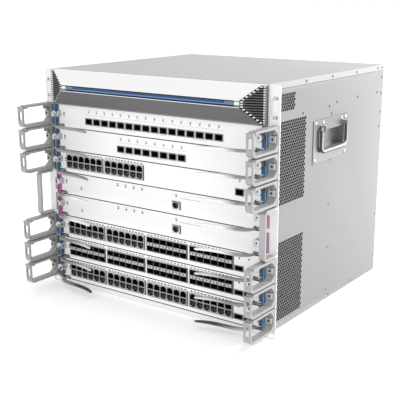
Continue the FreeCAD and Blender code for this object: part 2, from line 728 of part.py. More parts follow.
def main():
    """Write one STEP file for each part."""
    os.makedirs("parts", exist_ok=True)
    for name, shape in all_parts().items():
        shape.exportStep(f"parts/{name}.step")
        print(f"{name}: {len(shape.Solids)} solid(s), {shape.Volume / 1000:.1f} cm3, "
              f"valid {shape.isValid()}")


main()
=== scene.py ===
"""Studio picture of the modular chassis switch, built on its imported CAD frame.

Lengths are in millimetres here and become metres where vertices and lamps are made.
X runs to the right, Y to the back and Z up; y = 0 is the plane of the faceplates.
"""

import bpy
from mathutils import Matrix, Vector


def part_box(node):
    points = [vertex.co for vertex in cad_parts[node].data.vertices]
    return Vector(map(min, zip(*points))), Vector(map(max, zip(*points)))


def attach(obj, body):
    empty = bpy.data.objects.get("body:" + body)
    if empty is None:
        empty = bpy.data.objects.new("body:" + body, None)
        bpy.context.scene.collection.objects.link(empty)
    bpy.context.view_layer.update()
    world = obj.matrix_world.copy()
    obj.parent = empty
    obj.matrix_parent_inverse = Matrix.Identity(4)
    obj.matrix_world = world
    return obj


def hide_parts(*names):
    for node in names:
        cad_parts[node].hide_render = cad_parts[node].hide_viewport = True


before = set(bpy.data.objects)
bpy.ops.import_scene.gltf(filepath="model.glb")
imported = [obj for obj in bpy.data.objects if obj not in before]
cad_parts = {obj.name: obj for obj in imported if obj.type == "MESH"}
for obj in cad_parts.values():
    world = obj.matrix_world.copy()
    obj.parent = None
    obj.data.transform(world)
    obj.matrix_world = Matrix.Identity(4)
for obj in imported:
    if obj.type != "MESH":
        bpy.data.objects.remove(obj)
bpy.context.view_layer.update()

import math

import bmesh
import bpy
from mathutils import Matrix, Vector
from mathutils.geometry import tessellate_polygon

MM = 0.001
SIDES = {"right": 1, "left": -1}
CARDS = range(1, 9)
LINE_CARDS = (1, 2, 3, 6, 7, 8)
CONTROL_CARDS = (4, 5)


def node_box(node):
    """The lowest and highest corner of a CAD node, in millimetres."""
    return [Vector(corner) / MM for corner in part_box(node)]


# sizes that follow the frame
WALL = node_box("side_wall_right")[1].x
DEPTH = node_box("side_wall_right")[1].y
TOP = node_box("top_cover")[1].z
SHEET = 1.5
PLATE_LOW = node_box("card_8_tray")[0].z
CARD_PITCH = (node_box("card_1_tray")[0].z - PLATE_LOW) / 7
CAGE_FLOOR = PLATE_LOW - 0.4
CAGE_TOP = CAGE_FLOOR + 8 * CARD_PITCH
BAIL_LOW, BAIL_HIGH = node_box("carry_bail_right")


def slot_floor(card):
    """The height of a card's slot."""
    return CAGE_FLOOR + CARD_PITCH * (8 - card)


def span(side, near, far):
    """The X ends of a strip between two distances from the middle, on one side."""
    return sorted((side * near, side * far))


# ports
CAGE_PORT = (14.5, 10.0)
CAGE_LOW = 9.5
UPLINK_PORT = (15.6, 8.0)
UPLINK_LOW = 8.9
BLOCK_WIDTH = 85.6
BLOCK_Z = (7.6, 33.8)
CELL_PITCH = 14.1
BLOCK_CENTRES = (-153.0, -62.4, 28.1, 118.6)
JACK_BLOCKS = {3: BLOCK_CENTRES[:2], 6: BLOCK_CENTRES[:2], 8: BLOCK_CENTRES}
CAGE_BLOCKS = {6: BLOCK_CENTRES[2:], 7: BLOCK_CENTRES}
UPLINKS = {6: (173.0,), 7: (173.0, 191.4), 8: (173.0, 191.4)}
CAGES = {1: [-139.2 + 18.14 * i for i in range(16)],
         2: [-67.6 + 18.37 * i for i in range(8)],
         3: [172.4]}
BLOCK_MIDDLE = 20.7
BLOCK_STRIP = 0.6
JACK_HEIGHT = 10.4
JACK_FEET = (9.3, 21.7)
FRAME_Y = (-1.2, -0.55)
SPRING_FINGERS = 34
CONSOLE_X = 49.2
CONSOLE_Z = (9.0, 21.6)

# seams and coloured markers at the ends of a card
SEAM_X = 218.5
SEAM_Y = (-0.06, 1.5)
MARKER_X = (210.6, 218.9)
CORNER_X = (214.9, 218.8)
BRACKET_X = (201.5, 214.2)

# fixings and handles
SCREW_X = 211.5
SCREW_Z = 23.3
SCREW_R = 6.85
FLUTES = 20
FLUTE_DEPTH = 0.45
RING_X = (227.0, 240.0)
RING_REACH = 70.5
RING_LOW = 3.9
RING_HEIGHT = 38.2
BAIL_X = 226.2
BAIL_TOP = 310.0
BAIL_BEND = 9.0
BAIL_R = 2.9

# fascia
ROOF_Z = (337.2, 396.2)
RIDGE_Z = (361.3, 372.8)
RIDGE_Y = -21.0
ROOF_Y = -7.0
ROOF_X = 213.0
RIDGE_X = 183.0
FASCIA_END = 220.0
LOUVRES = 15
BAR_X = 156.0
BAR_END = 171.5
BAR_TIP = (173.3, 181.8)
BAR_REST = (171.5, 182.3)
COMB_TEETH = 85
COMB_PITCH = 4

# rack ears and side wall
EAR_SLOTS = (348.5, 377.0)
EAR_STRIPS = ((139.5, 172.5), (178.5, 199.5))
LID_DROP = 10.4
FIN = 2.5
REAR_FOLDS = ((207.5, 12, 340), (210.5, 346, 386))
VENTS = (((35.5, 80.5, 351.5, 379.0), (7, 6)),
         ((35.5, 117.5, 205.0, 337.0), (14, 28)),
         ((35.5, 117.5, 13.5, 145.5), (14, 28)))
VENT_HOLE = 2.52
VENT_MARGIN = 0.3
WALL_WINDOW = (153.0, 250.0, 264.0, 314.0)

# back
FAN_X = 103.6
FAN_Z = (93.0, 257.0)
FAN_R = 67.0
HUB_R = 26
BLADES = 7
BLADE_RIBS = 7
SUPPLY_PITCH = 104.0
SUPPLY_Z = (345.2, 388.2)

# studio: lamps as name, place, aim, size and power, in metres and watts
FLOOR_REACH = 30.0
FLOOR_GLOW = 0.22
LAMPS = (("key", (0.4, -2.6, 0.9), (0, 0, 0.15), 1.4, 10),
         ("rim", (1.2, 1.4, 1.15), (0.2, 0.45, 0.3), 0.5, 36))
CAMERA_PLACE = (0.8494, -1.0481, 0.5309)
CAMERA_DIP = 14.19
CAMERA_TURN = 35.67
CAMERA_LENS = 74.9


# ---- finishes

def rgb(colour):
    """A colour as red, green and blue; one number stands for a grey."""
    return colour if isinstance(colour, tuple) else (colour, colour, colour)


def new_node(material, kind, values=(), **settings):
    """A node added to a material, with its settings and the values of its inputs."""
    node = material.node_tree.nodes.new("ShaderNode" + kind)
    for key, value in settings.items():
        setattr(node, key, value)
    for key, value in dict(values).items():
        node.inputs[key].default_value = value
    return node


def wire(material, *runs):
    """Links in a material: each run is a node, its output, a node and its input."""
    for start, output, end, entry in runs:
        material.node_tree.links.new(start.outputs[output], end.inputs[entry])


def finish(name, colour, roughness, metallic=0.0, grain=0.08, grain_size=0.5, drift=0.04,
           wear=0.0, coat=0.0, glow=0.0, stretch=(1, 1, 1)):
    """A surface with fine grain, slow drift of tone and gloss, and lighter worn edges."""
    material = bpy.data.materials.new(name)
    material.use_nodes = True
    shader = material.node_tree.nodes["Principled BSDF"]
    shader.inputs["Metallic"].default_value = metallic
    shader.inputs["Coat Weight"].default_value = coat
    shader.inputs["Emission Strength"].default_value = glow
    place = new_node(material, "TexCoord")
    mapping = new_node(material, "Mapping", {"Scale": stretch})

    fine = new_node(material, "TexNoise", {"Scale": 1 / (grain_size * MM), "Detail": 3})
    bump = new_node(material, "Bump", {"Strength": grain, "Distance": 0.1 * MM})
    wire(material, (place, "Object", mapping, "Vector"), (mapping, "Vector", fine, "Vector"),
         (fine, "Fac", bump, "Height"), (bump, "Normal", shader, "Normal"))

    slow = new_node(material, "TexNoise", {"Scale": 7, "Detail": 4})
    tone = new_node(material, "MapRange", {"To Min": 1 - drift, "To Max": 1 + drift})
    tint = new_node(material, "Mix", {"Factor": 1.0, "A": (*rgb(colour), 1)},
                    data_type="RGBA", blend_type="MULTIPLY")
    wire(material, (place, "Object", slow, "Vector"), (slow, "Fac", tone, "Value"),
         (tone, "Result", tint, "B"))

    pale = [min(1.0, share * 1.25 + 0.06) for share in rgb(colour)]
    edge = new_node(material, "NewGeometry")
    rim = new_node(material, "MapRange", {"From Min": 0.53, "From Max": 0.62, "To Max": wear})
    worn = new_node(material, "Mix", {"B": (*pale, 1)}, data_type="RGBA")
    wire(material, (edge, "Pointiness", rim, "Value"), (rim, "Result", worn, "Factor"),
         (tint, "Result", worn, "A"), (worn, "Result", shader, "Base Color"))

    gloss = new_node(material, "MapRange", {"To Min": max(0.03, roughness - 0.07),
                                            "To Max": min(1.0, roughness + 0.07)})
    wire(material, (fine, "Fac", gloss, "Value"), (gloss, "Result", shader, "Roughness"))
    return material


def blend(material, axis, start, end, colour):
    """Another colour beyond a place along Y, or along X on both sides of the middle."""
    link = material.node_tree.links.new
    shader = material.node_tree.nodes["Principled BSDF"]
    place = new_node(material, "TexCoord")
    split = new_node(material, "SeparateXYZ")
    ramp = new_node(material, "MapRange", {"From Min": start * MM, "From Max": end * MM})
    mix = new_node(material, "Mix", {"B": (*rgb(colour), 1)}, data_type="RGBA")
    before = shader.inputs["Base Color"].links[0].from_socket
    reach = split.outputs[axis]
    if axis == "X":
        size = new_node(material, "Math", operation="ABSOLUTE")
        link(reach, size.inputs[0])
        reach = size.outputs["Value"]
    link(reach, ramp.inputs["Value"])
    link(before, mix.inputs["A"])
    wire(material, (place, "Object", split, "Vector"), (ramp, "Result", mix, "Factor"),
         (mix, "Result", shader, "Base Color"))


POWDER = {"grain": 0.10, "grain_size": 0.7}
INNER = {"grain": 0.12, "grain_size": 3.0, "drift": 0.10}
PLATING = {"grain": 0.12, "grain_size": 1.5}
FINE = {"grain": 0.05, "grain_size": 0.6}
INNER_PAINTED_SHADE = (0.05, 0.052, 0.055)

SHEET_PAINT = finish("light grey powder coat", (0.235, 0.239, 0.238), 0.5, **POWDER, drift=0.02,
                     wear=0.4)
LID_PAINT = finish("lid powder coat", (0.375, 0.377, 0.377), 0.62, **POWDER, drift=0.02,
                   wear=0.4)
EAR_PAINT = finish("ear powder coat", 0.74, 0.46, **POWDER, drift=0.02, wear=0.5)
BASE_PAINT = finish("base strip paint", (0.76, 0.765, 0.765), 0.5, **POWDER, drift=0.03,
                    wear=0.4)
ZINC = finish("plated inner sheet", (0.42, 0.43, 0.44), 0.42, metallic=0.8, **INNER)
# Inner sheet darkened as painted shade.
ZINC_IN_PAINTED_SHADE = finish("inner sheet in painted shade", INNER_PAINTED_SHADE, 0.6, metallic=0.4, **INNER)
PLATE_PAINT = finish("faceplate paint", 0.79, 0.46, grain=0.06, grain_size=0.6, drift=0.012,
                     wear=0.3)
BOARD = finish("circuit board and ports", (0.010, 0.010, 0.011), 0.45, grain=0.2,
               grain_size=2.0)
PORT_BLACK = finish("port housing plastic", (0.008, 0.008, 0.009), 0.55, grain=0.1)
SHIELD = finish("port shield plating", (0.21, 0.21, 0.212), 0.38, metallic=0.7, **PLATING,
                drift=0.12)
JACK_FRAME = finish("jack frame plating", (0.33, 0.33, 0.332), 0.36, metallic=0.6, **PLATING,
                    drift=0.12)
SHIELD_PALE = finish("bright port shield", 0.58, 0.32, metallic=0.55, **PLATING, drift=0.10)
JACK_GREEN = finish("jack board", (0.03, 0.12, 0.085), 0.35, grain=0.1)
SPRING = finish("shield spring", 0.10, 0.4, metallic=0.5, drift=0.05)
GOLD = finish("contact gold", (0.62, 0.50, 0.30), 0.3, metallic=0.9, grain=0.05)
LIGHT_PIPE = finish("clear light pipe", (0.62, 0.64, 0.64), 0.22, grain=0.03, coat=0.3)
MARK = finish("printed mark", (0.035, 0.035, 0.037), 0.6, grain=0.04)
MARK_PALE = finish("pale printed line", (0.16, 0.16, 0.165), 0.6, grain=0.04)
RING_PLASTIC = finish("light grey moulding", (0.31, 0.31, 0.305), 0.42, grain=0.14,
                      grain_size=0.9, drift=0.03, wear=0.5)
# Darker copy of the ring moulding: painted shade.
RING_PAINTED_SHADE = finish("moulding in painted shade", (0.15, 0.15, 0.148), 0.45, grain=0.14, grain_size=0.9)
LEVER_METAL = finish("satin lever", 0.80, 0.34, metallic=0.1, drift=0.03, wear=0.2)
# One real lever finish: the grey and shaded copies are painted shade, the dark one a painted dark
# reflection.
LEVER_GREY_PAINTED_SHADE = finish("lever in grey painted shade", 0.62, 0.34, metallic=0.2, drift=0.03, wear=0.5)
LEVER_PAINTED_SHADE = finish("lever in painted shade", 0.30, 0.36, metallic=0.3, wear=0.4)
LEVER_HEEL = finish("lever heel", 0.70, 0.4, metallic=0.3, grain=0.1)
LEVER_PAINTED_DARK_REFLECTION = finish("lever with painted dark reflection", (0.06, 0.06, 0.062), 0.36, metallic=0.4, drift=0.05,
                    wear=0.4)
BAIL_METAL = finish("bail chrome", (0.50, 0.50, 0.505), 0.22, metallic=0.9, grain=0.04)
STEEL = finish("bright steel", (0.27, 0.273, 0.273), 0.34, metallic=0.8, grain=0.15,
               grain_size=1.2, drift=0.06, stretch=(1, 0.08, 1))
CHROME = finish("chrome", (0.70, 0.70, 0.72), 0.12, metallic=1.0, grain=0.03, drift=0.03)
SCREW_METAL = finish("screw metal", (0.52, 0.52, 0.53), 0.2, metallic=0.95, drift=0.08)
NUT = finish("pale clip nut", 0.50, 0.4, metallic=0.2, grain=0.1)
# Dark screws, and also the painted shadow under the bail and behind the rivets.
DARK_SCREW_AND_PAINTED_SHADOW = finish("dark screw and painted shadow", (0.055, 0.055, 0.058), 0.5, metallic=0.4, grain=0.1)
# SHADOW is painted shadow: near-black standing in for the shade in holes, recesses, grooves and
# gaps
SHADOW = finish("painted shadow", (0.012, 0.012, 0.013), 0.8, grain=0.1)
FASCIA_WHITE = finish("fascia white plastic", 0.76, 0.42, **FINE, drift=0.012, wear=0.2)
# The dark grey of the fascia's lower slope is painted shade.
FASCIA_PAINTED_SHADE = finish("fascia plastic in painted shade", (0.105, 0.105, 0.106), 0.5, **FINE, drift=0.03)
SLAT = finish("louvre slat", 0.62, 0.4, grain=0.05, wear=0.4)
SLAT_DARK = finish("shaded louvre slat", (0.075, 0.075, 0.077), 0.45, grain=0.05)
FRAME_GREY = finish("fascia side frame", 0.26, 0.45, grain=0.06, wear=0.3)
NAVY = finish("navy tinted strip", (0.008, 0.040, 0.135), 0.35, grain=0.03, coat=0.15)
SKY = finish("light blue strip", (0.10, 0.25, 0.56), 0.35, grain=0.03, coat=0.1)
PALE_STRIP = finish("pale strip end", (0.12, 0.17, 0.30), 0.35, grain=0.03, coat=0.1)
# The pale and deep blues are one marker blue, lit and shaded: painted light on the right ear,
# painted shade on the left.
BLUE, BLUE_IN_PAINTED_LIGHT, BLUE_IN_PAINTED_SHADE, MAGENTA, LILAC = (
    finish(f"{name} marker", colour, 0.5, grain=0.05)
    for name, colour in (("blue", (0.011, 0.086, 0.22)), ("blue in painted light", (0.10, 0.29, 0.50)),
                         ("blue in painted shade", (0.010, 0.045, 0.10)), ("magenta", (0.42, 0.085, 0.27)),
                         ("lilac", (0.38, 0.19, 0.32))))
BLACK = finish("black moulding", (0.018, 0.018, 0.02), 0.42, grain=0.12, drift=0.05, wear=0.2)
GREEN_LENS = finish("green lens", (0.05, 0.20, 0.09), 0.2, grain=0.02, coat=0.5)
FLOOR = finish("studio floor", 0.95, 0.9, grain=0.01, drift=0.003, glow=FLOOR_GLOW)
blend(EAR_PAINT, "Y", -2.5, -4.5, 0.36)
# The card tray darkens behind the faceplate, into its slot, as painted shade.
blend(PLATE_PAINT, "Y", 1.6, 3.0, INNER_PAINTED_SHADE)
blend(BOARD, "Y", 45.0, 47.0, (0.03, 0.11, 0.07))
# Darker lever necks towards the ears are painted shade; card 8's lighter neck is a painted
# highlight.
blend(LEVER_METAL, "X", 158, 184, 0.24)
blend(LEVER_GREY_PAINTED_SHADE, "X", 130, 168, 0.24)
blend(LEVER_PAINTED_DARK_REFLECTION, "X", 150, 195, 0.40)


# ---- mesh tools

def rounded(corners, steps=5):
    """A closed outline from corners (u, v, radius), with each radius as a short arc."""
    outline = []
    for i, (u, v, radius) in enumerate(corners):
        here = Vector((u, v))
        if not radius:
            outline.append(here)
            continue
        back = (Vector(corners[i - 1][:2]) - here).normalized()
        ahead = (Vector(corners[(i + 1) % len(corners)][:2]) - here).normalized()
        half = back.angle(ahead) / 2
        centre = here + (back + ahead).normalized() * radius / math.sin(half)
        start = (here + back * radius / math.tan(half) - centre).normalized()
        end = (here + ahead * radius / math.tan(half) - centre).normalized()
        for step in range(steps + 1):
            outline.append(centre + start.slerp(end, step / steps, start) * radius)
    return [tuple(point) for point in outline]


def rectangle(u0, u1, v0, v1, radius=0.0, steps=3):
    """A rectangle's outline, with round corners if a radius is given."""
    return rounded([(u0, v0, radius), (u1, v0, radius), (u1, v1, radius), (u0, v1, radius)],
                   steps)


def lifted(axis, u, v, w):
    """The point at (u, v) on the plane that an axis looks at, w along that axis."""
    return {"x": (w, u, v), "y": (u, w, v), "z": (u, v, w)}[axis]


def skin(rings, sides, closed=False):
    """Faces between rings of points, with an end cap at each end of an open row of rings."""
    last = (rings - 1) * sides
    faces = [] if closed else [tuple(range(sides)), tuple(reversed(range(last, last + sides)))]
    for ring in range(rings if closed else rings - 1):
        here, ahead = ring * sides, (ring + 1) % rings * sides
        for i in range(sides):
            j = (i + 1) % sides
            faces.append((here + i, here + j, ahead + j, ahead + i))
    return faces


def around(u, v, radius, turn):
    """The point at a turn on a circle."""
    return u + radius * math.cos(turn), v + radius * math.sin(turn)


def new_object(name, data):
    """A new object in the scene."""
    made = bpy.data.objects.new(name, data)
    bpy.context.scene.collection.objects.link(made)
    return made


def shade_smooth(mesh, angle):
    """Smooth shading with sharp edges above an angle."""
    mesh.polygons.foreach_set("use_smooth", [True] * len(mesh.polygons))
    mesh.set_sharp_from_angle(angle=math.radians(angle))


class Shape:
    """Geometry gathered in millimetres, face by face, with a finish for each."""

    def __init__(self):
        self.bm = bmesh.new()
        self.finishes = []

    def add(self, points, faces, material):
        """Raw points and faces in one finish."""
        if material not in self.finishes:
            self.finishes.append(material)
        number = self.finishes.index(material)
        verts = [self.bm.verts.new(Vector(point) * MM) for point in points]
        for face in faces:
            made = self.bm.faces.new([verts[i] for i in face])
            made.material_index = number

    def prism(self, outline, axis, low, high, material, holes=()):
        """An outline pushed along an axis, with holes right through."""
        loops = [outline, *holes]
        flat = [point for loop in loops for point in loop]
        count = len(flat)
        points = [lifted(axis, *point, low) for point in flat]
        points += [lifted(axis, *point, high) for point in flat]
        if holes:
            caps = tessellate_polygon([[Vector((*p, 0)) for p in loop] for loop in loops])
        else:
            caps = [tuple(range(count))]
        faces = [tuple(cap) for cap in caps]
        faces += [tuple(i + count for i in reversed(cap)) for cap in caps]
        start = 0
        for loop in loops:
            for i in range(len(loop)):
                a = start + i
                b = start + (i + 1) % len(loop)
                faces.append((a, b, b + count, a + count))
            start += len(loop)
        self.add(points, faces, material)

    def block(self, x0, x1, y0, y1, z0, z1, material):
        """A block between two corners."""
        self.prism(rectangle(x0, x1, y0, y1), "z", z0, z1, material)

    def lathe(self, profile, centre, along, material, sides=24):
        """A closed turned form: profile is (distance along, radius) from the centre."""
        along = Vector(along).normalized()
        across = along.orthogonal().normalized()
        turns = [Matrix.Rotation(2 * math.pi * i / sides, 3, along) for i in range(sides)]
        points = []
        for reach, radius in profile:
            middle = Vector(centre) + along * reach
            points += [middle + (turn @ across) * radius for turn in turns]
        self.add(points, skin(len(profile), sides), material)

    def tube(self, path, radius, material, sides=12, closed=False):
        """A round bar along a path of points."""
        path = [Vector(point) for point in path]
        count = len(path)
        points = []
        across = None
        for i, point in enumerate(path):
            before = path[i - 1] if i or closed else point
            after = path[(i + 1) % count] if i < count - 1 or closed else point
            along = (after - before).normalized()
            if across is None:
                across = along.orthogonal().normalized()
            across = (across - along * across.dot(along)).normalized()
            side = along.cross(across)
            for k in range(sides):
                turn = 2 * math.pi * k / sides
                points.append(point + (across * math.cos(turn) + side * math.sin(turn)) * radius)
        self.add(points, skin(count, sides, closed), material)

    def mesh(self, name):
        """The geometry as a mesh; the shape takes no more afterwards."""
        bmesh.ops.recalc_face_normals(self.bm, faces=self.bm.faces)
        mesh = bpy.data.meshes.new(name)
        self.bm.to_mesh(mesh)
        self.bm.free()
        return mesh

    def place(self, name, body, replaces=(), bevel=0.0, slot=None, smooth=35):
        """The finished piece, riding on its body."""
        name = name.replace(" ", "_")
        mesh = self.mesh(name)
        for material in self.finishes:
            mesh.materials.append(material)
        shade_smooth(mesh, smooth)
        piece = new_object(name, mesh)
        if bevel:
            soften(piece, bevel)
        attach(piece, body)
        if replaces:
            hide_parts(*replaces)
        return piece


def soften(piece, width):
    """Rounds a piece's sharp edges."""
    weld = piece.modifiers.new("weld", "WELD")
    weld.merge_threshold = 0.002 * MM
    bevel = piece.modifiers.new("soft edges", "BEVEL")
    bevel.width = width * MM
    bevel.segments = 2
    bevel.limit_method = "ANGLE"
    bevel.angle_limit = math.radians(40)
    bevel.use_clamp_overlap = True
    bevel.harden_normals = True


# ---- frame nodes

def paint(node, material, bevel=0.0):
    """Gives a CAD node its finish and soft edges."""
    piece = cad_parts[node]
    for holder in piece.material_slots:
        holder.material = material
    if not piece.material_slots:
        piece.data.materials.append(material)
    if bevel:
        soften(piece, bevel)


def paint_frame():
    """Finishes for the CAD nodes that stay in view."""
    for side in SIDES:
        paint(f"rack_ear_{side}", EAR_PAINT, 0.5)
        paint(f"guide_rack_{side}", ZINC_IN_PAINTED_SHADE)
        paint(f"carry_plate_{side}", STEEL, 0.3)
        paint(f"fan_tray_{side}", ZINC, 0.3)
    for card in CARDS:
        paint(f"card_{card}_tray", PLATE_PAINT, 0.25)
        paint(f"card_{card}_board", BOARD)
    paint("base_pan", BASE_PAINT, 0.4)
    paint("top_cover", LID_PAINT, 0.6)
    paint("mid_shelf", ZINC)
    paint("backplane", BOARD)
    for bay in range(1, 5):
        paint(f"power_supply_{bay}", ZINC, 0.4)


# ---- chassis

def cell_rim(limits, steps=12):
    """Points round a cell kept inside straight limits (direction u, direction v, reach)."""
    turns = [2 * math.pi * i / steps for i in range(steps)]
    for i, (a, b, reach) in enumerate(limits):
        for c, d, other in limits[i + 1:]:
            spread = a * d - b * c
            if abs(spread) < 1e-6:
                continue
            u = (reach * d - b * other) / spread
            v = (a * other - reach * c) / spread
            if all(p * u + q * v < r + 1e-6 for p, q, r in limits):
                turns.append(math.atan2(v, u) % (2 * math.pi))
    turns = sorted({round(turn, 5) for turn in turns})
    rim = []
    for turn in turns:
        c, s = math.cos(turn), math.sin(turn)
        away = min(r / (p * c + q * s) for p, q, r in limits if p * c + q * s > 1e-6)
        rim.append((turn, c * away, s * away))
    return rim


def perforation(shape, area, count, x_in, x_out, material):
    """A field of staggered round holes through a sheet, each in its own cell."""
    y0, y1, z0, z1 = area
    columns, rows = count
    step_y = (y1 - y0) / (columns + 0.5)
    step_z = (z1 - z0 - 2 * VENT_MARGIN) / rows
    centres = {}
    for row in range(rows):
        for column in range(columns):
            centres[2 * column + row % 2, row] = (
                y0 + step_y * (column + 0.5 + 0.5 * (row % 2)),
                z0 + VENT_MARGIN + step_z * (row + 0.5))
    for (place, row), (y, z) in centres.items():
        limits = [(1, 0, y1 - y), (-1, 0, y - y0), (0, 1, z1 - z), (0, -1, z - z0)]
        for across, up in ((2, 0), (-2, 0), (1, 1), (-1, 1), (1, -1), (-1, -1), (0, 2), (0, -2)):
            if (place + across, row + up) in centres:
                away = Vector((across * step_y / 2, up * step_z))
                limits.append((*away.normalized(), away.length / 2))
        rim = cell_rim(limits)
        size = len(rim)
        points = []
        for x in (x_out, x_in):
            points += [(x, y + u, z + v) for turn, u, v in rim]
            points += [(x, *around(y, z, VENT_HOLE, turn)) for turn, u, v in rim]
        sheet = []
        walls = []
        for i in range(size):
            j = (i + 1) % size
            sheet.append((i, j, size + j, size + i))
            sheet.append((2 * size + i, 3 * size + i, 3 * size + j, 2 * size + j))
            walls.append((size + i, size + j, 3 * size + j, 3 * size + i))
        shape.add(points, sheet, material)
        # The hole walls are near-black: painted shade inside each hole.
        shape.add(points, walls, SHADOW)


def side_wall(name, side):
    """Side wall with a window, fields of fine round perforations, a front fin and rear folds."""
    wall_in = WALL - SHEET
    roof = TOP - LID_DROP
    outline = [(0, 0), (DEPTH, 0), (DEPTH, roof), (0, roof), (0, CAGE_TOP),
               (-FIN, CAGE_TOP), (-FIN, CAGE_FLOOR), (0, CAGE_FLOOR)]
    windows = [rectangle(*WALL_WINDOW)]
    windows += [rectangle(*area) for area, count in VENTS]
    shape = Shape()
    shape.prism(outline, "x", side * wall_in, side * WALL, SHEET_PAINT, windows)
    for area, count in VENTS:
        perforation(shape, area, count, side * wall_in, side * WALL, SHEET_PAINT)
        # A near-black sheet behind each field of holes: painted shadow seen through them.
        shape.block(*span(side, wall_in - 0.05, wall_in + 0.25), *area, SHADOW)
    for x, z0, z1 in REAR_FOLDS:
        shape.block(*span(side, x, wall_in), DEPTH - SHEET, DEPTH, z0, z1, SHEET_PAINT)
    shape.place(f"side wall {name}", "chassis", (f"side_wall_{name}",), slot="body_sheet")


def wall_screws(name, side):
    """The small sunk screws and rivets of a side wall."""
    places = [(403, 374.5), (303, 348), (223, 347.6), (196, 343), (205, 330), (106, 342.5),
              (384, 348), (403, 345), (403, 310.5), (401, 283.4), (205, 252), (205, 174),
              (205.5, 96), (208, 17.5), (217, 5.7), (304, 7), (402, 113.6), (404, 29)]
    flange = [(113.9, 392), (203.6, 392), (295.4, 392), (383.7, 392), (401.8, 392)]
    shape = Shape()
    for y, z in places + flange:
        size = 2.3 if z > 250 else 1.8
        centre = (side * WALL, y, z)
        shape.lathe([(-0.6, size), (0.16, size), (0.24, size * 0.8), (0.1, size * 0.5)], centre,
                    (side, 0, 0), DARK_SCREW_AND_PAINTED_SHADOW, 14)
    shape.place(f"side screws {name}", "chassis", slot="bright_steel")


def lid_details():
    """The lid's round vent and two small screws, flush under its surface."""
    shape = Shape()
    for x in (-2, 101):
        shape.lathe([(-0.4, 1.3), (0.0, 1.3), (-0.12, 0.8)], (x, 18, TOP - 0.02), (0, 0, 1),
                    DARK_SCREW_AND_PAINTED_SHADOW, 12)
    centre = Vector((165.4, 69.5))
    shape.lathe([(-0.5, 12.4), (-0.02, 12.4), (-0.02, 11.6), (-0.2, 11.2)],
                (*centre, TOP), (0, 0, 1), DARK_SCREW_AND_PAINTED_SHADOW, 40)
    # The vent holes are near-black discs just under the lid: painted shadow.
    for ring, count in ((2.6, 6), (5.6, 12), (8.8, 18)):
        for i in range(count):
            turn = 2 * math.pi * i / count
            place = centre + Vector((math.cos(turn), math.sin(turn))) * ring
            shape.lathe([(-0.3, 1.1), (-0.03, 1.1), (-0.18, 0.7)], (*place, TOP), (0, 0, 1),
                        SHADOW, 8)
    shape.place("lid details", "chassis", slot="body_sheet")


def ear_markers(name, side):
    """Coloured slot markers beside a rack ear, in one blue made paler on the right as painted
    light and deeper on the left as painted shade, and the clip nuts behind its two slots.
    """
    # Paler blue on the right ear, deeper on the left: painted light and painted shade.
    tone = BLUE_IN_PAINTED_LIGHT if side > 0 else BLUE_IN_PAINTED_SHADE
    strips = [(221.3, 226.8, slot_floor(card) + 1.0, slot_floor(card) + 39.6, tone)
              for card in LINE_CARDS]
    strips += [(221.6, 227.2, low, high, LILAC) for low, high in EAR_STRIPS]
    shape = Shape()
    for near, far, low, high, colour in strips:
        outline = rectangle(*span(side, near, far), low, high, 0.3)
        shape.prism(outline, "y", -0.25, 0.1, colour)
    for z in EAR_SLOTS:
        shape.block(*span(side, 227.9, 237.2), 0.9, 1.8, z - 3.1, z + 3.1, NUT)
        shape.block(*span(side, 234.2, 235.8), 0.8, 1.0, z - 1.2, z + 1.2, SHADOW)
    shape.place(f"ear markers {name}", "chassis", bevel=0.06, slot="blue_bar")


def cable_ring(name, side, card):
    """A moulded cable ring with round edges, a slotted front bar, a screw boss and two inner ribs
    in painted shade.
    """
    low = slot_floor(card) + RING_LOW
    high = low + RING_HEIGHT
    front = -RING_REACH
    body = rounded([(0, low, 0), (0, high, 0), (-63.5, high, 1.5), (-65.6, high - 5.4, 1.6),
                    (-61.6, high - 6.2, 0.9), (-58, high - 3.8, 2), (-12, high - 3.8, 2),
                    (-3.6, high - 12, 2), (-3.6, low + 12, 2), (-12, low + 4.6, 2),
                    (front + 3.4, low + 4.6, 6), (front + 3.4, high - 1.6, 0.9),
                    (front - 1.2, high - 1.6, 0.9), (front - 1.2, high - 4.4, 0.5),
                    (front, high - 5.0, 0.5), (front, low, 9)])
    ends = span(side, *RING_X)
    shape = Shape()
    shape.prism(body, "x", *ends, RING_PLASTIC)
    middle = (ends[0] + ends[1]) / 2
    height = (low + high) / 2
    shape.block(middle - 4.6, middle + 4.6, -8.4, -3.0, height - 5, height + 5, RING_PLASTIC)
    # The two inner ribs are darkened as painted shade.
    shape.block(middle - 5.2, middle + 5.2, -12, -3.2, low + 4, low + 11.5, RING_PAINTED_SHADE)
    shape.block(middle - 5.2, middle + 5.2, -12, -3.2, high - 11.5, high - 3.4, RING_PAINTED_SHADE)
    ring = shape.place(f"cable ring {card} {name}", "chassis", slot="ring_plastic")
    cutter = Shape()
    slot_outline = rectangle(middle - 3.4, middle + 3.4, low + 12.5, low + 29, 3.3, 6)
    cutter.prism(slot_outline, "y", front - 3, front + 5, RING_PLASTIC)
    cut_away(ring, cutter)
    soften(ring, 0.7)
    # A proud near-black disc on the boss stands for the screw hole: painted shadow.
    screw = Shape()
    screw.lathe([(-0.3, 2.0), (0.2, 2.0), (0.35, 1.2)],
                (middle, -8.4, height), (0, -1, 0), SHADOW, 16)
    screw.place(f"ring screw {card} {name}", "chassis", slot="bright_steel")
    return ring


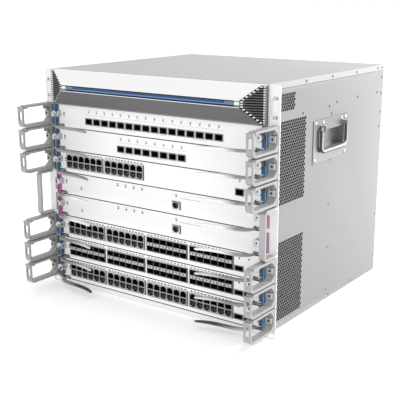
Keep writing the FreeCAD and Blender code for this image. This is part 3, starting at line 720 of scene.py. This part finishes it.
def cut_away(piece, cutter):
    """Takes a shape out of a piece and keeps the result as its mesh."""
    tool = new_object("cutter", cutter.mesh("cutter"))
    cut = piece.modifiers.new("cut", "BOOLEAN")
    cut.operation = "DIFFERENCE"
    cut.object = tool
    cut.solver = "EXACT"
    bpy.context.view_layer.update()
    graph = bpy.context.evaluated_depsgraph_get()
    result = bpy.data.meshes.new_from_object(piece.evaluated_get(graph))
    piece.modifiers.clear()
    piece.data = result
    bpy.data.objects.remove(tool)
    shade_smooth(result, 35)


# ---- fascia

def hip(z):
    """Half width and front Y of the fascia's roof at a height."""
    if z > RIDGE_Z[1]:
        share = (ROOF_Z[1] - z) / (ROOF_Z[1] - RIDGE_Z[1])
    elif z < RIDGE_Z[0]:
        share = (z - ROOF_Z[0]) / (RIDGE_Z[0] - ROOF_Z[0])
    else:
        share = 1.0
    return ROOF_X - share * (ROOF_X - RIDGE_X), ROOF_Y + share * (RIDGE_Y - ROOF_Y)


def fascia():
    """Hipped intake fascia: white upper slope, a lower slope in painted shade and a ridge channel
    with walls in painted shadow.
    """
    low, high = RIDGE_Z[0] + 1.0, RIDGE_Z[1] - 0.8
    floor, foot = RIDGE_Y + 5, RIDGE_X - 3
    section = [(ROOF_Y, ROOF_Z[1], ROOF_X), (RIDGE_Y, RIDGE_Z[1], RIDGE_X),
               (RIDGE_Y, high, RIDGE_X), (floor, high, foot), (floor, low, foot),
               (RIDGE_Y, low, RIDGE_X), (RIDGE_Y, RIDGE_Z[0], RIDGE_X),
               (ROOF_Y, ROOF_Z[0], ROOF_X)]
    # The lower slope's dark grey and the channel's near-black are painted shade.
    looks = [FASCIA_WHITE, FASCIA_WHITE, SHADOW, SHADOW, SHADOW, FASCIA_WHITE, FASCIA_PAINTED_SHADE]
    inner = [(y + 1.6 * (y < ROOF_Y), z, half) for y, z, half in section]
    shape = Shape()
    for layer in (section, inner):
        for (y0, z0, half0), (y1, z1, half1), look in zip(layer, layer[1:], looks):
            points = [(-half0, y0, z0), (half0, y0, z0), (half1, y1, z1), (-half1, y1, z1)]
            shape.add(points, [(0, 1, 2, 3)], look)
    shape.place("fascia shell", "chassis", ("fascia",), slot="front_plastic", smooth=20)


def fascia_frame():
    """The flat frame behind the fascia, with a near-black backing and groove lines on its side
    faces, both painted shadow.
    """
    shape = Shape()
    shape.block(-FASCIA_END, FASCIA_END, ROOF_Y, 0, 395.4, 396.4, FASCIA_WHITE)
    shape.block(-FASCIA_END, FASCIA_END, ROOF_Y, 0, 336.2, 337.4, FRAME_GREY)
    # Near-black backing behind the roof and louvres: painted shadow.
    shape.block(-ROOF_X, ROOF_X, ROOF_Y + 3.5, 0, 337.4, 395.4, SHADOW)
    cheek = FASCIA_END - 1
    for side in SIDES.values():
        shape.block(*span(side, ROOF_X, cheek), ROOF_Y + 3.5, 0, 337.4, 395.4, SHADOW)
        shape.block(*span(side, cheek, FASCIA_END), ROOF_Y + 0.3, 0, 337.2, 395.6, FRAME_GREY)
        # Thin near-black strips on each side face: painted shadow of grooves.
        for y0, y1 in ((-5.9, -5.1), (-2.2, -0.9)):
            groove = span(side, FASCIA_END, FASCIA_END + 0.12)
            shape.block(*groove, y0, y1, 337.6, 395.2, SHADOW)
    shape.place("fascia frame", "chassis", bevel=0.2, slot="front_plastic")


def louvres(name, side):
    """Slats across a hipped end of the fascia, pale at the ends with a dark middle span in
    painted shade.
    """
    shape = Shape()
    step = (ROOF_Z[1] - ROOF_Z[0] - 2.4) / LOUVRES
    outer = FASCIA_END - 1.0
    for i in range(LOUVRES):
        z = ROOF_Z[0] + 1.2 + step * (i + 0.5)
        half, y = hip(z)
        slope = (ROOF_Y - y) / (ROOF_X - half)
        knee = max(half + 4.6, outer - 2.8)
        # The dark middle span of each slat is painted shade.
        spans = ((half + 1.5, half + 4.6, 0.3, 1.0, SLAT),
                 (half + 4.6, knee, 0.9, 0.8, SLAT_DARK),
                 (knee, outer, 0.2, 1.0, SLAT))
        for x0, x1, sunk, thick, tone in spans:
            if x1 - x0 < 0.3:
                continue
            near, far = (y + slope * (min(x, ROOF_X) - half) + sunk for x in (x0, x1))
            outline = [(side * x0, near), (side * x1, far),
                       (side * x1, ROOF_Y + 3.5), (side * x0, ROOF_Y + 3.5)]
            shape.prism(outline, "z", z - thick, z + thick, tone)
    shape.place(f"louvres {name}", "chassis", slot="front_plastic")


def light_bar():
    """Tinted ridge strip with pale ends, a top band in painted shadow and a fine comb along its
    foot.
    """
    floor = RIDGE_Y + 5
    low, high = RIDGE_Z[0] + 1.1, RIDGE_Z[1] - 0.9
    # The top band is painted shadow under the edge of the upper slope.
    bands = ((high - 1.7, high, 3.2, 3.8, SHADOW), (low + 4.2, high - 1.7, 3.8, 4.3, NAVY),
             (low + 2.2, low + 4.2, 4.3, 4.4, SKY))
    shape = Shape()
    for z0, z1, top_reach, foot_reach, tone in bands:
        outline = [(floor, z0), (floor, z1), (floor - top_reach, z1), (floor - foot_reach, z0)]
        shape.prism(outline, "x", -BAR_X, BAR_X, tone)
        end_tone = SHADOW if tone is SHADOW else PALE_STRIP
        for side in (-1, 1):
            shape.prism(outline, "x", *span(side, BAR_X, BAR_END), end_tone)
    tip = [(floor, low + 3.2), (floor, high - 1.8), (floor - 3.8, high - 1.8),
           (floor - 4.6, low + 4.4), (floor - 4.2, low + 3.2)]
    for side in (-1, 1):
        shape.prism(tip, "x", *span(side, *BAR_TIP), FASCIA_WHITE)
        shape.block(*span(side, *BAR_REST), floor - 2.4, floor, low, high, FRAME_GREY)
    shape.place("light bar strip", "chassis", ("light_bar",), bevel=0.2, slot="blue_bar")
    comb = Shape()
    comb.block(-BAR_END, BAR_END, floor - 4.5, floor, low - 0.1, low + 2.0, SHADOW)
    for i in range(COMB_TEETH):
        x = COMB_PITCH * (i - (COMB_TEETH - 1) / 2)
        comb.block(x - 1.1, x + 1.1, floor - 4.75, floor - 3.9, low + 0.4, low + 2.9, SHADOW)
    comb.place("ridge comb", "chassis", slot="front_plastic")


# ---- cards

def thumbscrew(shape, x, floor):
    """A fluted captive screw with a cross recess and a spring ferrule."""
    z = floor + SCREW_Z
    ferrule = [(0, 6.9), (0.9, 6.9), (1.2, 6.6), (3.2, 6.5), (3.5, 6.3)]
    shape.lathe(ferrule, (x, 0, z), (0, -1, 0), SCREW_METAL, 32)
    rings = ((3.5, 0.96), (4.0, 1.0), (11.2, 1.0), (12.0, 0.93), (12.2, 0.86))
    points = []
    for reach, share in rings:
        for i in range(2 * FLUTES):
            flute = FLUTE_DEPTH if i % 2 and share == 1.0 else 0.0
            rim = around(x, z, SCREW_R * share - flute, math.pi * i / FLUTES)
            points.append(lifted("y", *rim, -reach))
    shape.add(points, skin(len(rings), 2 * FLUTES), SCREW_METAL)
    for dx, dz in ((2.5, 0.5), (0.5, 2.5)):
        shape.block(x - dx, x + dx, -12.26, -12.1, z - dz, z + dz, SHADOW)


def columns(block):
    """The middles of a port block's six columns."""
    return [block + CELL_PITCH * (i - 2.5) for i in range(6)]


def jack_outline(x, low, tab_up):
    """A plug opening with its stepped tab notch."""
    steps = [(6.2, 0), (6.2, 8.0), (4.0, 8.0), (4.0, 9.5), (2.6, 9.5), (2.6, JACK_HEIGHT - 0.1)]
    outline = steps + [(-u, v) for u, v in reversed(steps)]
    if not tab_up:
        outline = [(u, JACK_HEIGHT - v) for u, v in outline]
    return [(x + u, low + v) for u, v in outline]


def contacts(shape, x, half, y0, y1, low, high):
    """The eight gold contacts of a jack."""
    for pin in range(8):
        u = x - 3.57 + 1.02 * pin
        shape.block(u - half, u + half, y0, y1, low, high, GOLD)


def dashes(shape, block, z, width, height):
    """Two small dark indicator windows over each column of a port block."""
    low, high = z - height / 2, z + height / 2
    for x in columns(block):
        for middle in (x - width, x + width):
            shape.block(middle - width / 2, middle + width / 2, -0.2, 0.05, low, high, MARK)


def printed_line(shape, x0, x1, low, high):
    """A thin pale line printed on a faceplate."""
    shape.block(x0, x1, -0.1, 0.05, low, high, MARK_PALE)


def printed_dot(shape, x, z, radius):
    """A round dark dot on a faceplate."""
    shape.lathe([(-0.1, radius), (0.15, radius - 0.1), (0.2, 0.8)], (x, 0, z), (0, -1, 0),
                MARK, 14)


def lamp_mark(shape, x, z, size):
    """A triangular indicator window with a thin pale line over it."""
    shape.prism([(x - size, z + 0.8 * size), (x + size, z + 0.8 * size), (x, z - 0.9 * size)],
                "y", -0.16, 0.05, MARK)
    line = z + 1.5 * size
    printed_line(shape, x - 1.4 * size, x + 1.4 * size, line, line + 0.8)


def jack_pair(shape, x, floor):
    """Two jacks, one over the other: plated frames, contacts and shield springs."""
    half = CELL_PITCH / 2
    edges = [floor + z for z in (BLOCK_Z[0], BLOCK_MIDDLE, BLOCK_Z[1])]
    feet = [floor + z for z in JACK_FEET]
    for foot, low, high, tab_up in zip(feet, edges, edges[1:], (False, True)):
        shape.prism(rectangle(x - half, x + half, low, high), "y", *FRAME_Y, JACK_FRAME,
                    [jack_outline(x, foot, tab_up)])
    contacts(shape, x, 0.2, 3, 11, feet[0] + 0.3, feet[0] + 0.8)
    contacts(shape, x, 0.2, 3, 11, feet[1] + 9.6, feet[1] + 10.1)
    foot = floor + 10.6
    for u in (x - 4.2, x - 1.0, x + 2.2):
        spring = [(u, foot), (u + 1.2, foot), (u + 2.6, foot + 6.2), (u + 1.4, foot + 6.2)]
        shape.prism(spring, "y", 0.4, 0.8, SPRING)


def jack_bezels(card):
    """Plated jack blocks with edge strips and indicator windows."""
    floor = slot_floor(card)
    low, high = (floor + z for z in BLOCK_Z)
    half = BLOCK_WIDTH / 2
    shape = Shape()
    for block in JACK_BLOCKS[card]:
        for side in (-1, 1):
            edge = sorted((block + side * (half + BLOCK_STRIP), block + side * 3 * CELL_PITCH))
            shape.block(*edge, *FRAME_Y, low, high, JACK_FRAME)
        shape.block(block + half + BLOCK_STRIP, block + half + 1.9, -0.4, 0.1, low, high,
                    SLAT_DARK)
        shape.block(block - half, block + half, -1.35, -0.9, floor + 32.7, floor + 34.4,
                    SHIELD_PALE)
        for x in columns(block):
            jack_pair(shape, x, floor)
        dashes(shape, block, floor + 36.1, 3.6, 1.5)
    shape.place(f"jack shields {card}", f"card_{card}", slot="circuit_board")


def spring_fingers(shape, left, floor):
    """A row of bright spring fingers along the top of a cage block."""
    step = BLOCK_WIDTH / SPRING_FINGERS
    outline = [(-1.5, floor + 33.6), (-0.5, floor + 33.2), (-0.5, floor + 34.9)]
    for i in range(SPRING_FINGERS):
        u = left + step * (i + 0.5)
        shape.prism(outline, "x", u - 0.36 * step, u + 0.36 * step, SHIELD_PALE)


def cage_bezels(card):
    """Ganged module cages: thin bright frames, light pipes and spring fingers."""
    floor = slot_floor(card)
    low, high = (floor + z for z in BLOCK_Z)
    middle = floor + BLOCK_MIDDLE
    shape = Shape()
    for block in CAGE_BLOCKS[card]:
        left, right = block - BLOCK_WIDTH / 2, block + BLOCK_WIDTH / 2
        for z0, z1 in ((7.6, 9.1), (17.7, 23.7), (32.3, 33.8)):
            shape.block(left, right, -0.9, -0.55, floor + z0, floor + z1, SHIELD)
        shape.block(right, right + 1.7, -0.4, 0.1, low, high, SLAT_DARK)
        for i in range(7):
            x = block + CELL_PITCH * (i - 3)
            shape.block(x - 0.3, x + 0.3, -0.95, -0.55, low, high, SHIELD)
        for x in columns(block):
            for u, tip in ((x - 3.3, 1), (x + 3.3, -1)):
                foot = middle - tip * 1.7
                shape.prism([(u - 2.4, foot), (u + 2.4, foot), (u, middle + tip * 1.9)], "y",
                            -1.6, -0.9, LIGHT_PIPE)
            for z in (floor + 17.9, floor + 22.9):
                shape.block(x - 5.4, x + 5.4, -1.3, -0.9, z, z + 0.7, SHIELD_PALE)
        spring_fingers(shape, left, floor)
        dashes(shape, block, floor + 36.8, 3.4, 1.4)
    shape.place(f"cage shields {card}", f"card_{card}", slot="circuit_board")


def single_lips(card):
    """Plated lips round single cages, with their indicators and printed lines."""
    floor = slot_floor(card)
    lamp_level = {1: 30.2, 2: 30.2, 3: 31.5}.get(card, 29.5)
    groups = [(x, CAGE_PORT, CAGE_LOW) for x in CAGES.get(card, ())]
    groups += [(x, UPLINK_PORT, UPLINK_LOW) for x in UPLINKS.get(card, ())]
    shape = Shape()
    for x, (width, height), foot in groups:
        left, right = x - width / 2, x + width / 2
        low, high = floor + foot, floor + foot + height
        outer = rectangle(left - 1.0, right + 1.0, low - 0.9, high + 0.9, 0.5, 2)
        inner = rectangle(left + 0.5, right - 0.5, low + 0.5, high - 0.5, 0.3, 1)
        shape.prism(outer, "y", -0.7, 0.1, SHIELD, [inner])
        shape.prism(rectangle(left + 0.4, right - 0.4, low + 0.4, high - 0.4), "y", -0.3, 3.0,
                    PORT_BLACK, [inner])
        lamp_mark(shape, x, floor + lamp_level, 1.8)
        if card in (1, 2):
            printed_line(shape, x - 8.4, x + 8.4, floor + 26.0, floor + 26.25)
    if card in (1, 2):
        for x in CAGES[card][::4]:
            printed_line(shape, x + 4.1, x + 32.1, floor + 6.6, floor + 6.85)
    shape.place(f"cage lips {card}", f"card_{card}", slot="circuit_board")


def console_port(card):
    """The management jack's shield with a stepped opening and a dark rim above and to the right
    as painted shadow, contacts and indicators.
    """
    floor = slot_floor(card)
    x = CONSOLE_X
    low, high = (floor + z for z in CONSOLE_Z)
    opening = [jack_outline(x - 0.6, floor + 10.2, False)]
    shape = Shape()
    # A near-black plate showing above and right of the pale shield: painted shadow.
    shape.prism(rectangle(x - 8.0, x + 9.2, low - 0.2, high + 0.9, 0.6), "y", -0.9, 0.1, SHADOW,
                opening)
    shape.prism(rectangle(x - 8.6, x + 7.6, low - 0.6, high - 0.2, 0.6), "y", -1.35, -0.7,
                SHIELD_PALE, opening)
    contacts(shape, x, 0.22, 1.5, 9, floor + 19.6, floor + 20.1)
    shape.block(x - 6.2, x + 6.2, 5, 14.3, floor + 10.4, floor + 19.5, JACK_GREEN)
    for place in (-76.8, -59.0, -40.9, -22.7):
        lamp_mark(shape, place, floor + 31.5, 2.3)
    for place, level in ((-162.7, 13.5), (x, 30.5)):
        lamp_mark(shape, place, floor + level, 2.2)
    for near, far in ((8, 34), (36, 50)):
        printed_line(shape, x + near, x + far, floor + 28.6, floor + 29.2)
    shape.place(f"console port {card}", f"card_{card}", slot="circuit_board")


def card_front(card):
    """Thumbscrews, seams in painted shadow, coloured slot markers and printed dots of a
    faceplate.
    """
    floor = slot_floor(card)
    top = floor + CARD_PITCH - 0.4
    colour = MAGENTA if card in CONTROL_CARDS else BLUE
    shape = Shape()
    for side in SIDES.values():
        thumbscrew(shape, side * SCREW_X, floor)
    shape.place(f"thumbscrews {card}", f"card_{card}", slot="bright_steel")
    flat = Shape()
    # Near-black strips along the gaps between faceplates: painted shadow.
    flat.block(-SEAM_X, SEAM_X, *SEAM_Y, top - 0.8, top + 0.74, SHADOW)
    if card == 8:
        flat.block(-SEAM_X, SEAM_X, *SEAM_Y, floor - 0.4, floor + 1.1, SHADOW)
    for side in SIDES.values():
        marker = rectangle(*span(side, *MARKER_X), floor + 6.6, top, 0.3)
        flat.prism(marker, "y", -0.2, 0.1, colour)
        flat.block(*span(side, *CORNER_X), -0.2, 1.4, floor + 0.6, floor + 6.4, colour)
        flat.block(*span(side, *BRACKET_X), 0.5, 1.4, floor + 5.0, floor + 6.4, SLAT)
    printed_dot(flat, -198.6, floor + 24.2, 2.0)
    flat.block(-201.0, -196.2, -0.12, 0.05, floor + 19.4, floor + 20.6, MARK_PALE)
    if card in (6, 7, 8):
        printed_dot(flat, 191.3, floor + 30.8, 1.5)
        printed_dot(flat, 173.2, floor + 29.7, 1.5)
    flat.place(f"card markers {card}", f"card_{card}", slot="blue_bar")


def lever_finish(side, card):
    """The lever's finish by card and side: copies of one lever in painted shade, and a painted
    dark reflection on card 8.
    """
    if card == 8:
        return LEVER_PAINTED_DARK_REFLECTION
    if side < 0 and card in (1, 2, 3):
        return LEVER_PAINTED_SHADE
    return LEVER_GREY_PAINTED_SHADE if card in (6, 7) else LEVER_METAL


def lever(name, side, card):
    """Moulded ejector lever: slim neck, bowed blade and a blunt tip."""
    floor = slot_floor(card)
    spine = [(203.4, 7.0, 3.2, 2.2), (203.4, 1.0, 3.2, 2.2), (203.2, -7.0, 3.3, 3.0),
             (200.6, -16.5, 4.3, 4.4), (192.5, -22.8, 4.6, 5.0), (180, -25.2, 4.2, 5.0),
             (164, -25.8, 3.8, 4.8), (148, -26.8, 3.8, 4.6), (132, -29.4, 3.7, 4.3),
             (120, -33.4, 3.3, 3.8), (113.8, -36.0, 2.4, 3.1), (111.8, -37.0, 1.1, 2.0)]
    sides = 12
    squareness = 0.55
    points = []
    for i, (x, y, half, height) in enumerate(spine):
        before = Vector(spine[max(i - 1, 0)][:2])
        after = Vector(spine[min(i + 1, len(spine) - 1)][:2])
        along = (after - before).normalized()
        across = Vector((-along.y, along.x))
        middle = floor + 2.8 + 0.275 * (height - 2.2)
        for k in range(sides):
            c, s = around(0, 0, 1, 2 * math.pi * (k + 0.5) / sides)
            u = half * math.copysign(abs(c) ** squareness, c)
            v = 0.5 * height * math.copysign(abs(s) ** squareness, s)
            points.append((side * (x + across.x * u), y + across.y * u, middle + v))
    shape = Shape()
    shape.add(points, skin(len(spine), sides), lever_finish(side, card))
    heel = [(200.0, 8.8), (200.0, 0.5), (207.8, 0.5), (212.8, 5.6), (211.8, 8.8)]
    shape.prism([(side * x, y) for x, y in heel], "z", floor + 1.75, floor + 3.85, LEVER_HEEL)
    node = f"card_{card}_lever_{name}"
    piece = shape.place(f"ejector {card} {name}", node, (node,), slot="lever", smooth=50)
    smooth = piece.modifiers.new("round", "SUBSURF")
    smooth.levels = 1
    smooth.render_levels = 1


# ---- carry handles

def carry_bail(name, side):
    """A bent round bar with turned ends, and a thinner dark bar just under it as its painted
    shadow.
    """
    y0, y1 = BAIL_LOW.y + 3, BAIL_HIGH.y - 3
    x = side * BAIL_X
    low, high = BAIL_LOW.z + 3.2, BAIL_TOP
    path = [(x, y0 + 5.0, high), (x, y0 + 1.6, high), (x, y0 + 0.3, high - 1.2),
            (x, y0, high - 4)]
    for step in range(7):
        turn = math.pi / 2 * step / 6
        path.append((x, y0 + BAIL_BEND * (1 - math.cos(turn)),
                     low + BAIL_BEND * (1 - math.sin(turn))))
    path += [(px, y0 + y1 - py, pz) for px, py, pz in reversed(path)]
    shape = Shape()
    shape.tube(path, BAIL_R, BAIL_METAL, 16)
    # A dark bar set just below and in front of the bail: painted shadow of its underside.
    shade = [(px, py - 0.8, pz - 1.2) for px, py, pz in path[2:-2]]
    shape.tube(shade, BAIL_R - 0.3, DARK_SCREW_AND_PAINTED_SHADOW, 16)
    node = f"carry_bail_{name}"
    shape.place(f"bail {name}", node, (node,), slot="chrome", smooth=60)


def carry_rivets(name, side):
    """Domed rivets at the corners of a carry plate, each with a dark ring set low behind it as
    its painted shadow.
    """
    shape = Shape()
    face = side * (WALL + SHEET)
    for y, z in ((147.5, 319.5), (255.5, 319.5), (255.5, 258.5), (147.5, 258.5),
                 (174.6, 319.0), (239.9, 319.0)):
        shape.lathe([(0, 2.6), (0.5, 2.5), (1.0, 1.9), (1.3, 0.9)], (face, y, z), (side, 0, 0),
                    CHROME, 18)
        # A dark ring shifted down behind the rivet: painted shadow.
        shape.lathe([(-0.2, 3.4), (0.1, 3.4), (0.14, 3.1)], (face, y + 0.4, z - 0.9),
                    (side, 0, 0), DARK_SCREW_AND_PAINTED_SHADOW, 18)
    shape.place(f"carry rivets {name}", "chassis", slot="bright_steel")


# ---- back

def fan_guard(name, side):
    """Wire finger guards over a tray's two bores."""
    shape = Shape()
    x = side * FAN_X
    turns = [2 * math.pi * i / 40 for i in range(40)]
    for z in FAN_Z:
        for radius in range(14, 70, 9):
            ring = [lifted("y", *around(x, z, radius, turn), DEPTH + 1.6) for turn in turns]
            shape.tube(ring, 0.9, CHROME, 6, closed=True)
        for i in range(4):
            turn = math.pi / 4 + math.pi / 2 * i
            spoke = [lifted("y", *around(x, z, radius, turn), DEPTH + 0.6) for radius in (10, 72)]
            shape.tube(spoke, 0.9, CHROME, 6)
    shape.place(f"fan guards {name}", f"fan_tray_{name}", slot="bright_steel")


def blade(shape, x, z, start):
    """One swept, twisted fan blade; each rib has three points on each face."""
    points = []
    for i in range(BLADE_RIBS):
        share = i / (BLADE_RIBS - 1)
        radius = HUB_R + (FAN_R - 3 - HUB_R) * share
        half = math.radians(19 - 3 * share)
        for lead, y in ((-half, 382.5), (0.0, 390.5), (half, 399.0)):
            rim = around(x, z, radius, start + 0.35 * share ** 1.4 + lead)
            points += [lifted("y", *rim, y + thick) for thick in (-0.7, 0.7)]
    faces = [(0, 1, 3, 2), (2, 3, 5, 4)]
    for i in range(BLADE_RIBS - 1):
        a, b = 6 * i, 6 * (i + 1)
        faces += [(a, a + 2, b + 2, b), (a + 2, a + 4, b + 4, b + 2),
                  (a + 1, b + 1, b + 3, a + 3), (a + 3, b + 3, b + 5, a + 5),
                  (a, b, b + 1, a + 1), (a + 4, a + 5, b + 5, b + 4)]
    tip = 6 * (BLADE_RIBS - 1)
    faces += [(tip, tip + 2, tip + 3, tip + 1), (tip + 2, tip + 4, tip + 5, tip + 3)]
    shape.add(points, faces, BLACK)


def rotor(name, side, level, height):
    """A fan rotor with swept, twisted blades on a domed hub."""
    x = side * FAN_X
    node = f"fan_rotor_{level}_{name}"
    shape = Shape()
    shape.lathe([(378.5, 22), (380, HUB_R), (383, 27), (403, 27)], (x, 0, height), (0, 1, 0),
                BLACK, 36)
    for i in range(BLADES):
        blade(shape, x, height, 2 * math.pi * i / BLADES)
    shape.place(f"rotor {level} {name}", node, (node,), slot="black_plastic")


def supply_details(bay):
    """A power supply's inlet frame and green lamp."""
    x = SUPPLY_PITCH * (bay - 2.5)
    middle = sum(SUPPLY_Z) / 2
    shape = Shape()
    inlet = rectangle(x - 42, x - 14, middle - 11, middle + 11)
    shape.prism(rectangle(x - 44.5, x - 11.5, middle - 13.5, middle + 13.5, 2), "y", DEPTH - 0.1,
                DEPTH + 1.2, BLACK, [inlet])
    shape.lathe([(-0.1, 1.7), (0.7, 1.6), (1.0, 1.0)], (x + 44.5, DEPTH, middle - 12), (0, 1, 0),
                GREEN_LENS, 16)
    shape.place(f"supply details {bay}", f"power_supply_{bay}", slot="black_plastic")


# ---- studio

def studio():
    """Pale floor, soft lamps and the camera."""
    scene = bpy.context.scene
    mesh = bpy.data.meshes.new("floor")
    corners = [(x * FLOOR_REACH, y * FLOOR_REACH, 0) for x, y in rectangle(-1, 1, -1, 1)]
    mesh.from_pydata(corners, [], [(0, 1, 2, 3)])
    mesh.materials.append(FLOOR)
    new_object("floor", mesh)

    world = bpy.data.worlds.new("studio")
    world.use_nodes = True
    backdrop = world.node_tree.nodes["Background"].inputs
    backdrop["Color"].default_value = (1, 1, 1, 1)
    backdrop["Strength"].default_value = 1.0
    scene.world = world

    for name, place, aim, size, power in LAMPS:
        data = bpy.data.lights.new(name, "AREA")
        data.size = size
        data.energy = power
        lamp = new_object(name, data)
        lamp.location = place
        lamp.rotation_euler = (Vector(aim) - Vector(place)).to_track_quat("-Z", "Y").to_euler()

    data = bpy.data.cameras.new("camera")
    data.lens = CAMERA_LENS
    data.sensor_width = 36
    data.clip_end = 100
    camera = new_object("camera", data)
    camera.location = CAMERA_PLACE
    camera.rotation_euler = (math.radians(90 - CAMERA_DIP), 0, math.radians(CAMERA_TURN))
    scene.camera = camera
    scene.view_settings.view_transform = "Standard"


def main():
    """Dresses the frame and sets the studio."""
    paint_frame()
    fascia()
    fascia_frame()
    light_bar()
    lid_details()
    for name, side in SIDES.items():
        side_wall(name, side)
        wall_screws(name, side)
        ear_markers(name, side)
        louvres(name, side)
        carry_bail(name, side)
        carry_rivets(name, side)
        fan_guard(name, side)
        rings = [cable_ring(name, side, card) for card in LINE_CARDS]
        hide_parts(f"cable_rings_{name}")
        for level, height in zip(("low", "high"), FAN_Z):
            rotor(name, side, level, height)
        for card in CARDS:
            lever(name, side, card)
    for card in CARDS:
        card_front(card)
    for card in JACK_BLOCKS:
        jack_bezels(card)
    for card in CAGE_BLOCKS:
        cage_bezels(card)
    for card in sorted({*CAGES, *UPLINKS}):
        single_lips(card)
    for card in CONTROL_CARDS:
        console_port(card)
    for bay in range(1, 5):
        supply_details(bay)
    studio()


main()
